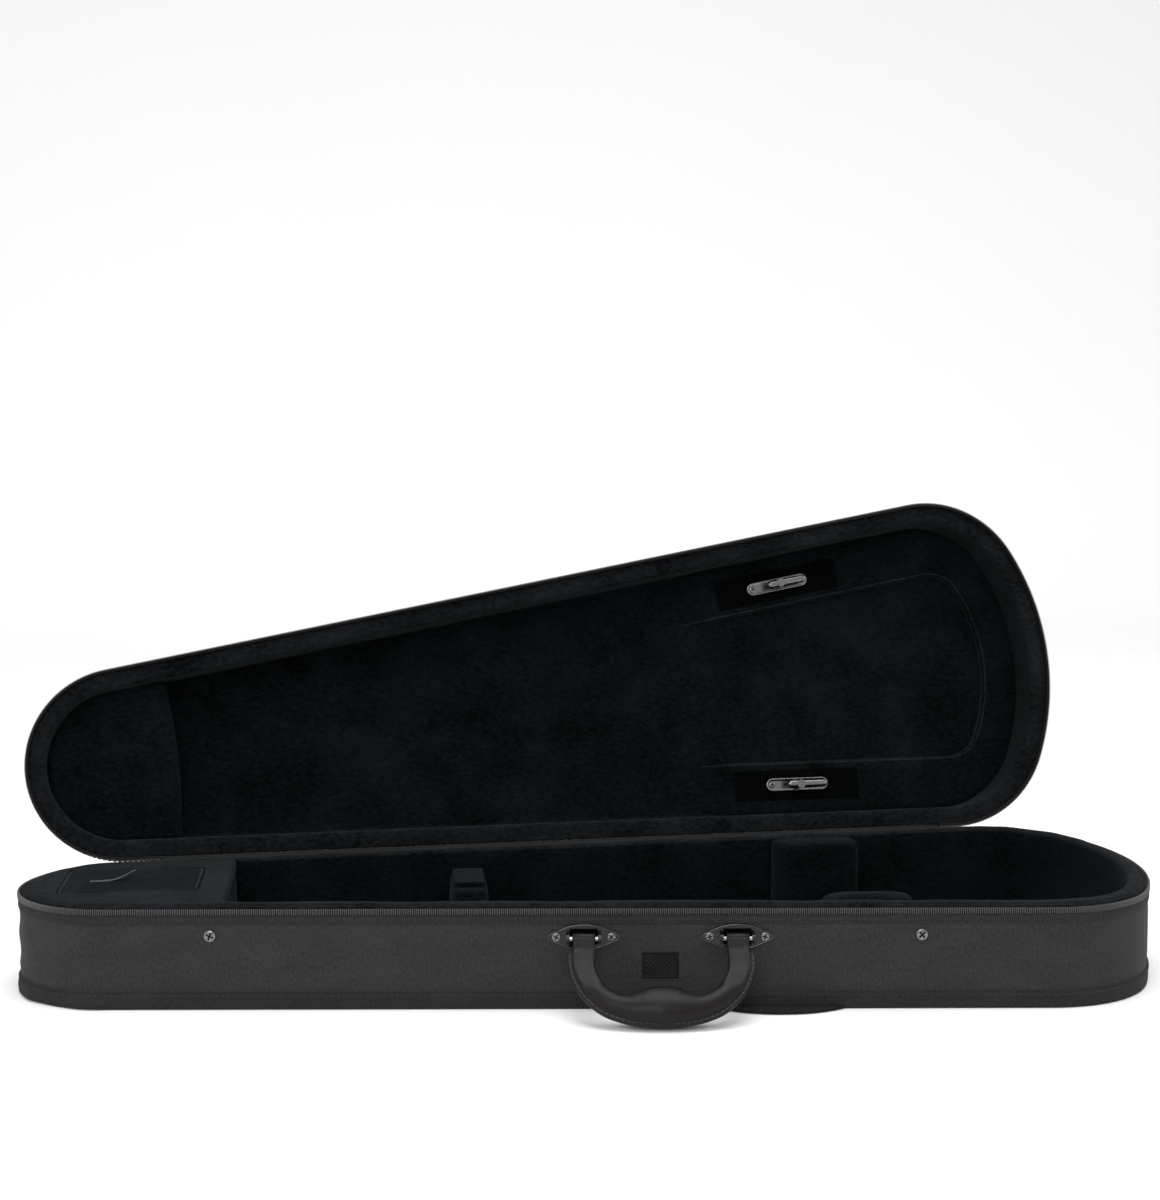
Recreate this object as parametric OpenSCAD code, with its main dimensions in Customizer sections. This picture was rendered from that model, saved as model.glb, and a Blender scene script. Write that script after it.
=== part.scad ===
// Shaped violin case, open, with its lid standing up on the back hinge.
// Origin: centre of the base's underside. +X points to the wide end, -Y to the handle side, +Z up.

/* [Case] */
// Overall length
case_l = 780; // [650:10:936]
// Overall width at the wide end
wide_w = 252; // [210:2:302]
// Overall width at the half-round narrow end
narrow_w = 140; // [116:2:168]
// Radius of the two corners of the wide end
corner_r = 79; // [66:1:94]
// Radius of the shallow arc across the wide end
end_r = 187; // [156:1:224]
// Height of the base, floor to zip
base_h = 67; // [56:1:80]
// Height of the lid, zip to top
lid_h = 50; // [42:1:60]
// Angle the lid stands open, from closed
lid_open = 102.5; // [60:0.5:110]

/* [Walls] */
// How far the woven cover stands inside the zip's outer edge
cover_in = 1.5; // [1:0.1:2.5]
// Thickness of the woven cover
cover_t = 1.2; // [0.8:0.1:2]
// Thickness of the stiff fabric panel under the base and on the lid
panel_t = 2; // [1.5:0.1:3]
// Thickness of the foam shell's wall
shell_t = 10.3; // [7:0.1:12]
// Thickness of the foam shell's floor
floor_t = 6; // [4:0.5:10]
// Thickness of the plush lining
lining_t = 2.5; // [1.5:0.1:3]
// Height of the padded rim above the zip
pad_rise = 3; // [1:0.5:4]
// Height of the binding around the bottom and the top
binding_h = 10.5; // [6:0.5:14]
// Height of one side of the zip tape
tape_h = 10.5; // [8:0.5:16]
// Height of one row of zip teeth
chain_h = 2.6; // [2:0.1:3]

/* [Handle] */
// Distance of the handle's centre along the straight side
handle_at = 365; // [300:5:380]
// Distance between the two handle plates
plate_gap = 100; // [90:1:110]
// Height of the handle pins below the zip
pin_drop = 19; // [17:0.5:22]
// Radius of a handle pin
pin_r = 1.5; // [1.2:0.1:2]
// Length of a handle plate
plate_l = 46; // [42:1:52]
// Height of a handle plate
plate_h = 16; // [15:0.5:20]
// Distance from the pins to the middle of the grip
grip_drop = 51.6; // [49:0.2:56]
// Radius of the grip at its middle
grip_r = 11.5; // [9.5:0.1:12]
// Radius of the grip at its ends
grip_end_r = 9; // [8:0.1:9.4]
// Width of a handle strap
strap_w = 15; // [12:0.5:16]

/* [Interior] */
// Middle of the waist pads along the straight side
waist_at = 502; // [440:2:510]
// Length of a waist pad
waist_l = 65; // [54:1:78]
// Depth of a waist pad, from the case's outer edge
waist_d = 45.5; // [38:0.5:54]
// Inner face of the accessory compartment, from the narrow end
accessory_l = 143; // [130:1:160]
// Length of the accessory lid
accessory_lid_l = 93.5; // [80:0.5:94]
// Width of the accessory lid
accessory_lid_w = 68; // [56:1:70]
// Width of the raised band in the lid, from the case's outer edge
lid_band_d = 56; // [50:1:60]
// Middle of the bow clip on the handle side, along the straight side
clip_at = 514; // [430:2:516]
// Middle of the bow clip on the hinge side, along the straight side
clip_low_at = 508; // [430:2:516]
// Distance of the bow clips from the case's outer edge
clip_in = 38; // [36:0.5:40]

/* [Hidden] */
$fn = 48;
// A cut reaches this far past the face it opens.
past = 1;
// Clearance between a loose piece and the walls around it.
loose = 0.1;
// Half the gap between the two rows of zip teeth when the case is closed.
seam_gap = 0.2;

// The outline: a half-round narrow end, two straight sides and a shallow arc with round corners.
narrow_r = narrow_w / 2;
narrow_x = narrow_r - case_l / 2;
end_x = case_l / 2 - end_r;
corner_y = wide_w / 2 - corner_r;
corner_x = end_x + sqrt(pow(end_r - corner_r, 2) - pow(corner_y, 2));
end_a = atan2(corner_y, corner_x - end_x);
side_a = atan2(corner_y, corner_x - narrow_x)
    + acos((narrow_r - corner_r) / norm([corner_x - narrow_x, corner_y]));
side_tilt = side_a - 90;
side_x = narrow_x + narrow_r * cos(side_a);
side_y = narrow_r * sin(side_a);
side_l = norm([corner_x + corner_r * cos(side_a) - side_x, corner_y + corner_r * sin(side_a) - side_y]);

// Depths of the wall's layers, inwards from the outline.
shell_out = cover_in + cover_t;
shell_in = shell_out + shell_t;
wall_t = shell_in + lining_t;
chain_in = 3.2;
pad_in = 5;
tape_in = 0.7;
room = wall_t + loose;

// Heights.
floor_z = panel_t + floor_t + lining_t;
rim_z = base_h + pad_rise;
lid_top = base_h + lid_h;
lid_cap_z = rim_z + 0.4;
lid_rim = lid_cap_z + 1.6;
lid_ceiling = lid_top - floor_z;

// The hinge takes the straight back side, less a little at each end where the zip runs out.
hinge_start = 26;
hinge_end = side_l - 13;

// Handle fittings.
pin_z = base_h - pin_drop;
pin_off = 4.6;
pin_fit = 0.06;
plate_t = 1.6;
plate_screw = 18;
pocket_w = 18.4;
ear_w = 2;
ear_r = 3;
eye_r = 3.6;
handle_tilt = acos((pin_z - grip_r - 0.3) / grip_drop);
leg_drop = 24.6;
bend_r = grip_drop - leg_drop;
bend_x = plate_gap / 2 - bend_r - 2;
welt_r = bend_r + 13;
welt_t = 3;
welt_top = 12;
wall_screw_at = [71, side_l - 86.5];

// Interior fittings.
frame_t = 12;
ledge_w = 4;
ledge_t = 5;
accessory_x = accessory_l - case_l / 2;
divider_t = 6;
lid_plate_x = accessory_x - 19.5 - accessory_lid_l / 2;
lid_plate_top = rim_z - 0.5;
cradle_x = -82;
cradle_l = 25;
cradle_z = base_h - 12;
notch_r = 21;
strap_clear = 9;
lid_band_t = 6;
lid_band_x = 105;
pocket_x = -285;
clip_l = 49;
clip_w = 10;
clip_t = 1.2;
clip_patch_t = 0.8;
clip_screw = 20;
post_h = 8;
post_r = 2.6;
post_pin_r = 2;
lever_t = 3;
lever_gap = 0.15;

// Points of an arc, end points included.
function arc(x, y, r, a0, a1, n) =
    [for (i = [0:n]) let (a = a0 + (a1 - a0) * i / n) [x + r * cos(a), y + r * sin(a)]];

// A list without its first and last items.
function middle(list) = [for (i = [1:len(list) - 2]) list[i]];

// The case's outline, moved inwards by d.
function outline(d) = concat(
    arc(end_x, 0, end_r - d, -end_a, end_a, 8),
    middle(arc(corner_x, corner_y, corner_r - d, end_a, side_a, 11)),
    [[corner_x + (corner_r - d) * cos(side_a), corner_y + (corner_r - d) * sin(side_a)]],
    arc(narrow_x, 0, narrow_r - d, side_a, 360 - side_a, 26),
    [[corner_x + (corner_r - d) * cos(side_a), -corner_y - (corner_r - d) * sin(side_a)]],
    middle(arc(corner_x, -corner_y, corner_r - d, -side_a, -end_a, 11)));

// A stadium, l long and w wide.
function stadium(l, w) = concat(
    arc(l / 2 - w / 2, 0, w / 2, -90, 90, 10),
    arc(w / 2 - l / 2, 0, w / 2, 90, 270, 10));

// A solid slab of the outline, moved in by d, from z0 to z1.
module slab(d, z0, z1) {
    translate([0, 0, z0])
        linear_extrude(z1 - z0)
            polygon(outline(d));
}

// A closed ring of the outline between two depths.
module ring(d_out, d_in, z0, z1) {
    translate([0, 0, z0])
        linear_extrude(z1 - z0)
            difference() {
                polygon(outline(d_out));
                polygon(outline(d_in));
            }
}

// Everything between two values of x.
module between_x(x0, x1) {
    translate([x0, -wide_w, -past])
        cube([x1 - x0, 2 * wide_w, 2 * lid_top]);
}

// Places children on the back side: X along it, +Y outwards.
module on_back(s, z = 0) {
    translate([side_x, side_y, 0])
        rotate([0, 0, side_tilt])
            translate([s, 0, z])
                children();
}

// Places children on the front side: X along it, -Y outwards.
module on_front(s, z = 0) {
    translate([side_x, -side_y, 0])
        rotate([0, 0, -side_tilt])
            translate([s, 0, z])
                children();
}

// Turns children, drawn as if the case were closed, to where the open lid stands.
module on_lid() {
    translate([side_x, side_y, base_h])
        rotate([0, 0, side_tilt])
            rotate([-lid_open, 0, 0])
                rotate([0, 0, -side_tilt])
                    translate([-side_x, -side_y, -base_h])
                        children();
}

// The stretch of the back side that the hinge takes.
module hinge_stretch() {
    on_back(hinge_start)
        translate([0, -wall_t / 2, 0])
            cube([hinge_end - hinge_start, wall_t, 2 * lid_top]);
}

// A cylinder along Y, from y0 to y1.
module bar_y(r, y0, y1) {
    translate([0, y0, 0])
        rotate([-90, 0, 0])
            cylinder(h = y1 - y0, r = r);
}

// A cylinder along X, centred.
module bar_x(r, l) {
    rotate([0, 90, 0])
        cylinder(h = l, r = r, center = true);
}

// A cross-head screw along -Z, its head on the plane z = 0.
module screw(head_r, shank_r, shank_l) {
    difference() {
        union() {
            cylinder(h = 1, r = head_r);
            translate([0, 0, 1])
                cylinder(h = 0.6, r1 = head_r, r2 = head_r * 0.72);
            translate([0, 0, -shank_l])
                cylinder(h = shank_l + 0.5, r = shank_r);
        }
        for (turn = [0, 90])
            rotate([0, 0, turn])
                translate([-head_r * 0.55, -0.4, 0.9])
                    cube([head_r * 1.1, 0.8, 2]);
    }
}

// The holes that the handle's and the wall's screws go into.
module wall_holes() {
    for (side = [-1, 1])
        for (end = [-1, 1])
            on_front(handle_at + side * plate_gap / 2 + end * plate_screw, pin_z)
                bar_y(1.55, 0, 9);
    for (s = wall_screw_at)
        on_front(s, pin_z + 1)
            bar_y(1.55, 0, 9);
}

module base_bottom() {
    color("#2e2e30") slab(cover_in, 0, panel_t);
}

module base_binding() {
    color("#333335") ring(0, cover_in, 0, binding_h);
}

module base_cover() {
    color("#3c3c3e")
        difference() {
            ring(cover_in, shell_out, panel_t, base_h - chain_h);
            wall_holes();
        }
}

module base_shell() {
    color("#e6e3dc")
        difference() {
            slab(shell_out, panel_t, base_h - chain_h);
            slab(shell_in, panel_t + floor_t, base_h);
            wall_holes();
        }
}

module base_lining() {
    color("#0c1012")
        difference() {
            union() {
                slab(shell_in, panel_t + floor_t, base_h - chain_h);
                slab(chain_in, base_h - chain_h, base_h - seam_gap);
                slab(pad_in, base_h - seam_gap, rim_z);
            }
            slab(wall_t, floor_z, rim_z + past);
        }
}

module base_zip_tape() {
    color("#262628")
        difference() {
            ring(tape_in, cover_in, base_h - tape_h, base_h - chain_h);
            hinge_stretch();
        }
}

module base_zip_chain() {
    color("#4a4a4c")
        difference() {
            ring(0, chain_in, base_h - chain_h, base_h - seam_gap);
            hinge_stretch();
        }
}

module base_hinge_strip() {
    color("#2c2c2e")
        on_back(hinge_start) {
            translate([0, -cover_in, base_h - tape_h])
                cube([hinge_end - hinge_start, cover_in, tape_h - seam_gap]);
            translate([0, -chain_in, base_h - chain_h])
                cube([hinge_end - hinge_start, chain_in, chain_h - seam_gap]);
        }
}

module hinge_tab() {
    color("#58585a")
        on_back(waist_at - 6)
            translate([-15.5, -pad_in + loose, base_h - seam_gap])
                cube([31, 1.6, pad_rise]);
}

module handle_plate(side) {
    lens_r = (pow(plate_l / 2, 2) + pow(plate_h / 2, 2)) / plate_h;
    color("#5a5654")
        on_front(handle_at + side * plate_gap / 2, pin_z) {
            translate([0, cover_in, 0])
                rotate([90, 0, 0])
                    linear_extrude(plate_t)
                        difference() {
                            union() {
                                intersection() {
                                    translate([0, lens_r - plate_h / 2]) circle(lens_r, $fn = 160);
                                    translate([0, plate_h / 2 - lens_r]) circle(lens_r, $fn = 160);
                                }
                                for (end = [-1, 1])
                                    translate([end * plate_screw, 0]) circle(4.4);
                            }
                            translate([-pocket_w / 2, -5])
                                square([pocket_w, 10.6]);
                            for (end = [-1, 1])
                                translate([end * plate_screw, 0]) circle(1.55);
                        }
            for (end = [-1, 1])
                plate_ear(end * (pocket_w + ear_w) / 2);
        }
}

// One of the two ears that hold a handle pin.
module plate_ear(x) {
    translate([x, 0, 0])
        difference() {
            union() {
                translate([-ear_w / 2, -pin_off, -ear_r + 0.5])
                    cube([ear_w, pin_off + cover_in - plate_t, 2 * ear_r - 1]);
                translate([0, -pin_off, 0]) bar_x(ear_r, ear_w);
            }
            translate([0, -pin_off, 0]) bar_x(pin_r + 0.02, 2 * ear_w);
        }
}

module handle_pins() {
    color("silver")
        for (side = [-1, 1])
            on_front(handle_at + side * plate_gap / 2, pin_z)
                translate([0, -pin_off, 0])
                    bar_x(pin_r, pocket_w + 2 * ear_w);
}

module handle_screws() {
    color("silver")
        for (side = [-1, 1])
            for (end = [-1, 1])
                on_front(handle_at + side * plate_gap / 2 + end * plate_screw, pin_z)
                    translate([0, cover_in - plate_t, 0])
                        rotate([90, 0, 0])
                            screw(3.4, 1.5, 8);
}

module wall_screws() {
    color("silver")
        for (s = wall_screw_at)
            on_front(s, pin_z + 1)
                translate([0, cover_in, 0])
                    rotate([90, 0, 0])
                        screw(4, 1.5, 6);
}

module front_patch() {
    color("#38383c")
        on_front(handle_at, pin_z - 19)
            translate([-12.2, cover_in - 0.8, -9.3])
                cube([24.4, 0.8, 18.6]);
}

// The end of the carrying strap's webbing, lying flat in front of the bottom seam.
module strap_end() {
    chord = 84;
    bulge = 14;
    arc_r = (pow(chord / 2, 2) + pow(bulge, 2)) / (2 * bulge);
    half_a = asin(chord / 2 / arc_r);
    color("#1c1c1e")
        on_front(handle_at + 78, 0.2)
            linear_extrude(1.8)
                polygon(arc(0, arc_r - bulge - loose, arc_r, -90 - half_a, -90 + half_a, 16));
}

// One waist pad, with Y inwards from the case's outer edge.
module waist_pad() {
    big = 24;
    small = 8;
    translate([0, 0, floor_z])
        linear_extrude(rim_z - floor_z)
            polygon(concat(
                [[waist_l / 2, room], [-waist_l / 2, room]],
                arc(big - waist_l / 2, waist_d - big, big, 180, 90, 8),
                arc(waist_l / 2 - small, waist_d - small, small, 90, 0, 6)));
}

module waist_pad_front() {
    color("#0d1113") on_front(waist_at) waist_pad();
}

module waist_pad_back() {
    color("#0d1113") on_back(waist_at) mirror([0, 1, 0]) waist_pad();
}

module neck_cradle() {
    color("#0d1113")
        difference() {
            intersection() {
                slab(room, floor_z, cradle_z);
                between_x(cradle_x - cradle_l / 2, cradle_x + cradle_l / 2);
            }
            translate([cradle_x, 0, cradle_z + 4]) bar_x(notch_r, cradle_l + 2 * past);
        }
}

// The strap lies on the cradle from its notch to a gap short of the side wall.
module neck_strap() {
    color("#18181a")
        intersection() {
            slab(room + strap_clear, cradle_z, cradle_z + 2.4);
            translate([cradle_x - 11, notch_r + 3, cradle_z - past])
                cube([22, wide_w / 2, 2.4 + 2 * past]);
        }
}

module neck_strap_patch() {
    color("#18181a")
        translate([cradle_x - 11, -notch_r - 35, cradle_z])
            cube([22, 30, 1.4]);
}

module accessory_divider() {
    color("#0e1214")
        intersection() {
            slab(room, floor_z, rim_z - frame_t);
            between_x(accessory_x - divider_t, accessory_x);
        }
}

// Cuts the accessory lid's outline, grown by grow, from z0 up.
module accessory_cut(grow, z0) {
    translate([lid_plate_x - accessory_lid_l / 2 - grow, -accessory_lid_w / 2 - grow, z0])
        cube([accessory_lid_l + 2 * grow, accessory_lid_w + 2 * grow, 2 * frame_t]);
}

module accessory_frame() {
    color("#0e1214")
        difference() {
            intersection() {
                slab(room, rim_z - frame_t, rim_z);
                between_x(-case_l / 2, accessory_x);
            }
            accessory_cut(-ledge_w, rim_z - 2 * frame_t);
            accessory_cut(0, rim_z - frame_t + ledge_t);
        }
}

module accessory_lid() {
    gap = 0.6;
    bottom_z = rim_z - frame_t + ledge_t + 0.05;
    color("#101416")
        translate([lid_plate_x - accessory_lid_l / 2 + gap, -accessory_lid_w / 2 + gap, bottom_z])
            cube([accessory_lid_l - 2 * gap, accessory_lid_w - 2 * gap, lid_plate_top - bottom_z]);
}

module accessory_tab() {
    color("#6a6c6e")
        translate([lid_plate_x - 28, -5, lid_plate_top]) {
            cube([30, 9, 0.8]);
        }
}

// A zip slider parked where the zip runs out, with X along the back side and +Y outwards.
module zip_slider() {
    color("#3a3a3c") {
        translate([-6, loose, base_h - 8.2])
            cube([12, 4.6, 5.5]);
        for (side = [-1, 1])
            translate([side * 4.1 - 0.7, 1.7, base_h - 11.2])
                cube([1.4, 3, 3.2]);
        translate([0, 3.2, base_h - 9.7])
            bar_x(0.8, 9);
    }
}

// A zip pull hanging from its slider.
module zip_pull() {
    color("#444446")
        difference() {
            union() {
                translate([0, 3.2, base_h - 9.7]) bar_x(1.3, 5.8);
                translate([-2.9, 2.4, base_h - 35])
                    cube([5.8, 1.6, 24.6]);
            }
            translate([0, 3.2, base_h - 9.7]) bar_x(0.86, 8);
        }
}

module zip_slider_left() {
    on_back(hinge_start - 8) zip_slider();
}

module zip_slider_right() {
    on_back(hinge_end + 8) zip_slider();
}

module zip_pull_left() {
    on_back(hinge_start - 8) zip_pull();
}

module zip_pull_right() {
    on_back(hinge_end + 8) zip_pull();
}

// Turns children, drawn hanging straight down from the pins, to where the grip lies on the floor.
module on_handle() {
    on_front(handle_at, pin_z)
        translate([0, -pin_off, 0])
            rotate([-handle_tilt, 0, 0])
                children();
}

module handle_strap(side) {
    color("#48424a")
        on_handle()
            translate([side * plate_gap / 2, 0, 0])
                difference() {
                    union() {
                        translate([-strap_w / 2, -2, -leg_drop])
                            cube([strap_w, 4, leg_drop]);
                        bar_x(eye_r, strap_w);
                    }
                    bar_x(pin_r + pin_fit, strap_w + 2 * past);
                }
}

// The grip's solid, grown by grow: two bends with a barrel between them.
module grip_solid(grow = 0) {
    for (side = [-1, 1])
        translate([side * bend_x, 0, -leg_drop])
            rotate([90, 0, 0])
                rotate([0, 0, side > 0 ? -90 : 180])
                    rotate_extrude(angle = 90)
                        translate([bend_r, 0])
                            circle(grip_end_r + grow);
    translate([0, 0, -grip_drop])
        rotate([0, 90, 0])
            rotate_extrude()
                polygon([[0, -bend_x], [grip_end_r + grow, -bend_x], [grip_r - 0.8 + grow, -bend_x / 2],
                    [grip_r + grow, 0], [grip_r - 0.8 + grow, bend_x / 2],
                    [grip_end_r + grow, bend_x], [0, bend_x]]);
}

module handle_grip() {
    color("#48424a") on_handle() grip_solid();
}

// The stitched welt along the handle's outer edge.
module handle_welt() {
    outer = concat(
        [[bend_x + welt_r, -welt_top]],
        arc(bend_x, -leg_drop, welt_r, 0, -90, 10),
        arc(-bend_x, -leg_drop, welt_r, -90, -180, 10),
        [[-bend_x - welt_r, -welt_top]]);
    inner = concat(
        [[-bend_x - bend_r - 10, -welt_top], [-bend_x - bend_r - 10, -leg_drop - 3]],
        arc(-bend_x, -leg_drop - 3, bend_r + 1, 180, 270, 8),
        arc(bend_x, -leg_drop - 3, bend_r + 1, 270, 360, 8),
        [[bend_x + bend_r + 10, -leg_drop - 3], [bend_x + bend_r + 10, -welt_top]]);
    color("#3c363e")
        on_handle()
            difference() {
                rotate([90, 0, 0])
                    linear_extrude(welt_t, center = true)
                        polygon(concat(outer, inner));
                grip_solid(0.05);
            }
}

module lid_panel() {
    color("#2e2e30") on_lid() slab(cover_in, lid_top - panel_t, lid_top);
}

module lid_binding() {
    color("#333335") on_lid() ring(0, cover_in, lid_top - binding_h, lid_top);
}

module lid_cover() {
    color("#3c3c3e") on_lid() ring(cover_in, shell_out, base_h + chain_h, lid_top - panel_t);
}

module lid_shell() {
    color("#e6e3dc")
        on_lid()
            difference() {
                slab(shell_out, lid_rim, lid_top - panel_t);
                slab(shell_in, base_h, lid_top - panel_t - floor_t);
            }
}

module lid_lining() {
    color("#0c1012")
        on_lid()
            difference() {
                union() {
                    slab(shell_out, lid_cap_z, lid_rim);
                    slab(shell_in, lid_rim, lid_top - panel_t - floor_t);
                }
                slab(wall_t, base_h, lid_ceiling);
            }
}

module lid_zip_tape() {
    color("#262628")
        on_lid()
            difference() {
                ring(tape_in, cover_in, base_h + chain_h, base_h + tape_h);
                hinge_stretch();
            }
}

module lid_zip_chain() {
    color("#4a4a4c")
        on_lid()
            difference() {
                ring(0, chain_in, base_h + seam_gap, base_h + chain_h);
                hinge_stretch();
            }
}

module lid_hinge_strip() {
    color("#2c2c2e")
        on_lid()
            on_back(hinge_start) {
                translate([0, -cover_in, base_h + seam_gap])
                    cube([hinge_end - hinge_start, cover_in, tape_h - seam_gap]);
                translate([0, -chain_in, base_h + seam_gap])
                    cube([hinge_end - hinge_start, chain_in, chain_h - seam_gap]);
            }
}

module lid_band() {
    color("#0d1113")
        on_lid()
            intersection() {
                ring(room, lid_band_d, lid_ceiling - lid_band_t, lid_ceiling);
                between_x(lid_band_x, case_l / 2);
            }
}

module bow_tip_pocket() {
    color("#0d1113")
        on_lid()
            intersection() {
                slab(room, base_h + 18, base_h + 21);
                between_x(-case_l / 2, pocket_x);
            }
}

// Places children on the raised band with -Z into the lid's room. side 1 is the upper one.
module on_clip(side) {
    on_lid()
        if (side > 0)
            on_front(clip_at, lid_ceiling - lid_band_t) translate([0, clip_in, 0]) children();
        else
            on_back(clip_low_at, lid_ceiling - lid_band_t) translate([0, -clip_in, 0]) children();
}

module clip_screw_holes(z0, z1) {
    for (end = [-1, 1])
        translate([end * clip_screw, 0, z0])
            cylinder(h = z1 - z0, r = 1.25);
}

module clip_patch(side) {
    color("#050708")
        on_clip(side)
            difference() {
                translate([-49, -11.5, -clip_patch_t])
                    cube([98, 23, clip_patch_t]);
                clip_screw_holes(-past - clip_patch_t, past);
            }
}

module clip_plate(side) {
    color("#8a8886")
        on_clip(side)
            translate([0, 0, -clip_patch_t - clip_t])
                difference() {
                    linear_extrude(clip_t)
                        polygon(stadium(clip_l, clip_w));
                    clip_screw_holes(-past, clip_t + past);
                }
}

module clip_post(side) {
    color("silver")
        on_clip(side)
            translate([0, 0, -clip_patch_t - clip_t])
                rotate([180, 0, 0]) {
                    cylinder(h = post_h, r = post_r);
                    cylinder(h = post_h + lever_t + 2 * lever_gap, r = post_pin_r);
                    translate([0, 0, post_h + lever_t + 2 * lever_gap])
                        cylinder(h = 1, r = 3.2);
                }
}

module clip_lever(side) {
    color("#9a9896")
        on_clip(side)
            translate([0, 0, -clip_patch_t - clip_t - post_h - lever_gap - lever_t])
                difference() {
                    linear_extrude(lever_t)
                        translate([3, 0])
                            polygon(stadium(27, 9));
                    translate([0, 0, -past])
                        cylinder(h = lever_t + 2 * past, r = post_pin_r + pin_fit);
                }
}

module clip_screws() {
    color("silver")
        for (side = [-1, 1])
            on_clip(side)
                for (end = [-1, 1])
                    translate([end * clip_screw, 0, -clip_patch_t - clip_t])
                        rotate([180, 0, 0])
                            screw(2.6, 1.2, clip_t + clip_patch_t);
}

base_bottom();
base_binding();
base_cover();
base_shell();
base_lining();
base_zip_tape();
base_zip_chain();
base_hinge_strip();
hinge_tab();
handle_plate(-1);  // handle_plate_left
handle_plate(1);  // handle_plate_right
handle_pins();
handle_screws();
wall_screws();
front_patch();
strap_end();
waist_pad_front();
waist_pad_back();
neck_cradle();
neck_strap();
neck_strap_patch();
accessory_divider();
accessory_frame();
accessory_lid();
accessory_tab();
zip_slider_left();
zip_slider_right();
zip_pull_left();
zip_pull_right();
handle_strap(-1);  // handle_strap_left
handle_strap(1);  // handle_strap_right
handle_grip();
handle_welt();
lid_panel();
lid_binding();
lid_cover();
lid_shell();
lid_lining();
lid_zip_tape();
lid_zip_chain();
lid_hinge_strip();
lid_band();
bow_tip_pocket();
clip_patch(1);  // clip_patch_upper
clip_patch(-1);  // clip_patch_lower
clip_plate(1);  // clip_plate_upper
clip_plate(-1);  // clip_plate_lower
clip_post(1);  // clip_post_upper
clip_post(-1);  // clip_post_lower
clip_lever(1);  // clip_lever_upper
clip_lever(-1);  // clip_lever_lower
clip_screws();
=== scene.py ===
"""A shaped violin case, open: woven cover, plush inside, stitched leather handle."""
import logging
import math
from collections.abc import Callable, Iterator, Sequence
from contextlib import contextmanager
from dataclasses import dataclass, field
from enum import Enum

import bmesh
import bpy
from mathutils import Matrix, Vector, noise


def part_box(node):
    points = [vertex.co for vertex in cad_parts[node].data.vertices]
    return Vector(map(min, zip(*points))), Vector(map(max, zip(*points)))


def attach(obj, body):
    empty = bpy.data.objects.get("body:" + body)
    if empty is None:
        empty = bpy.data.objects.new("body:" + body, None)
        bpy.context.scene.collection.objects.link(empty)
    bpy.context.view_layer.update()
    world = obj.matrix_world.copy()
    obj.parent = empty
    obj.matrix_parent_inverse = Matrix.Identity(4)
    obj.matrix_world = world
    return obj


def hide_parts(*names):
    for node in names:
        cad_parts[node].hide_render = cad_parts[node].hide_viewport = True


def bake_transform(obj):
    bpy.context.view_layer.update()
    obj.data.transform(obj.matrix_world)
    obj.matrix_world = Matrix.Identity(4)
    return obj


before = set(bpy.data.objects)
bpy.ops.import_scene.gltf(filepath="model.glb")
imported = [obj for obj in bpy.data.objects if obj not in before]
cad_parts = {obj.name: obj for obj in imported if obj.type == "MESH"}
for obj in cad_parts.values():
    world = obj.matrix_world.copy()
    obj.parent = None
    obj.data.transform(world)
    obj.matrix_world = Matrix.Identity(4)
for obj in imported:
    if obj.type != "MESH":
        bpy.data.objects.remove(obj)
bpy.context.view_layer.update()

MM = 0.001
LOG = logging.getLogger("violin_case")

Row = tuple[float, float]
Profile = Callable[["Station"], Sequence[Row]]


class Coords(Enum):
    """Where a finish takes its place from: the cut cloth, or the solid itself."""

    CLOTH = "UV"
    SOLID = "Object"


# ---------------------------------------------------------------- finishes


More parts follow.
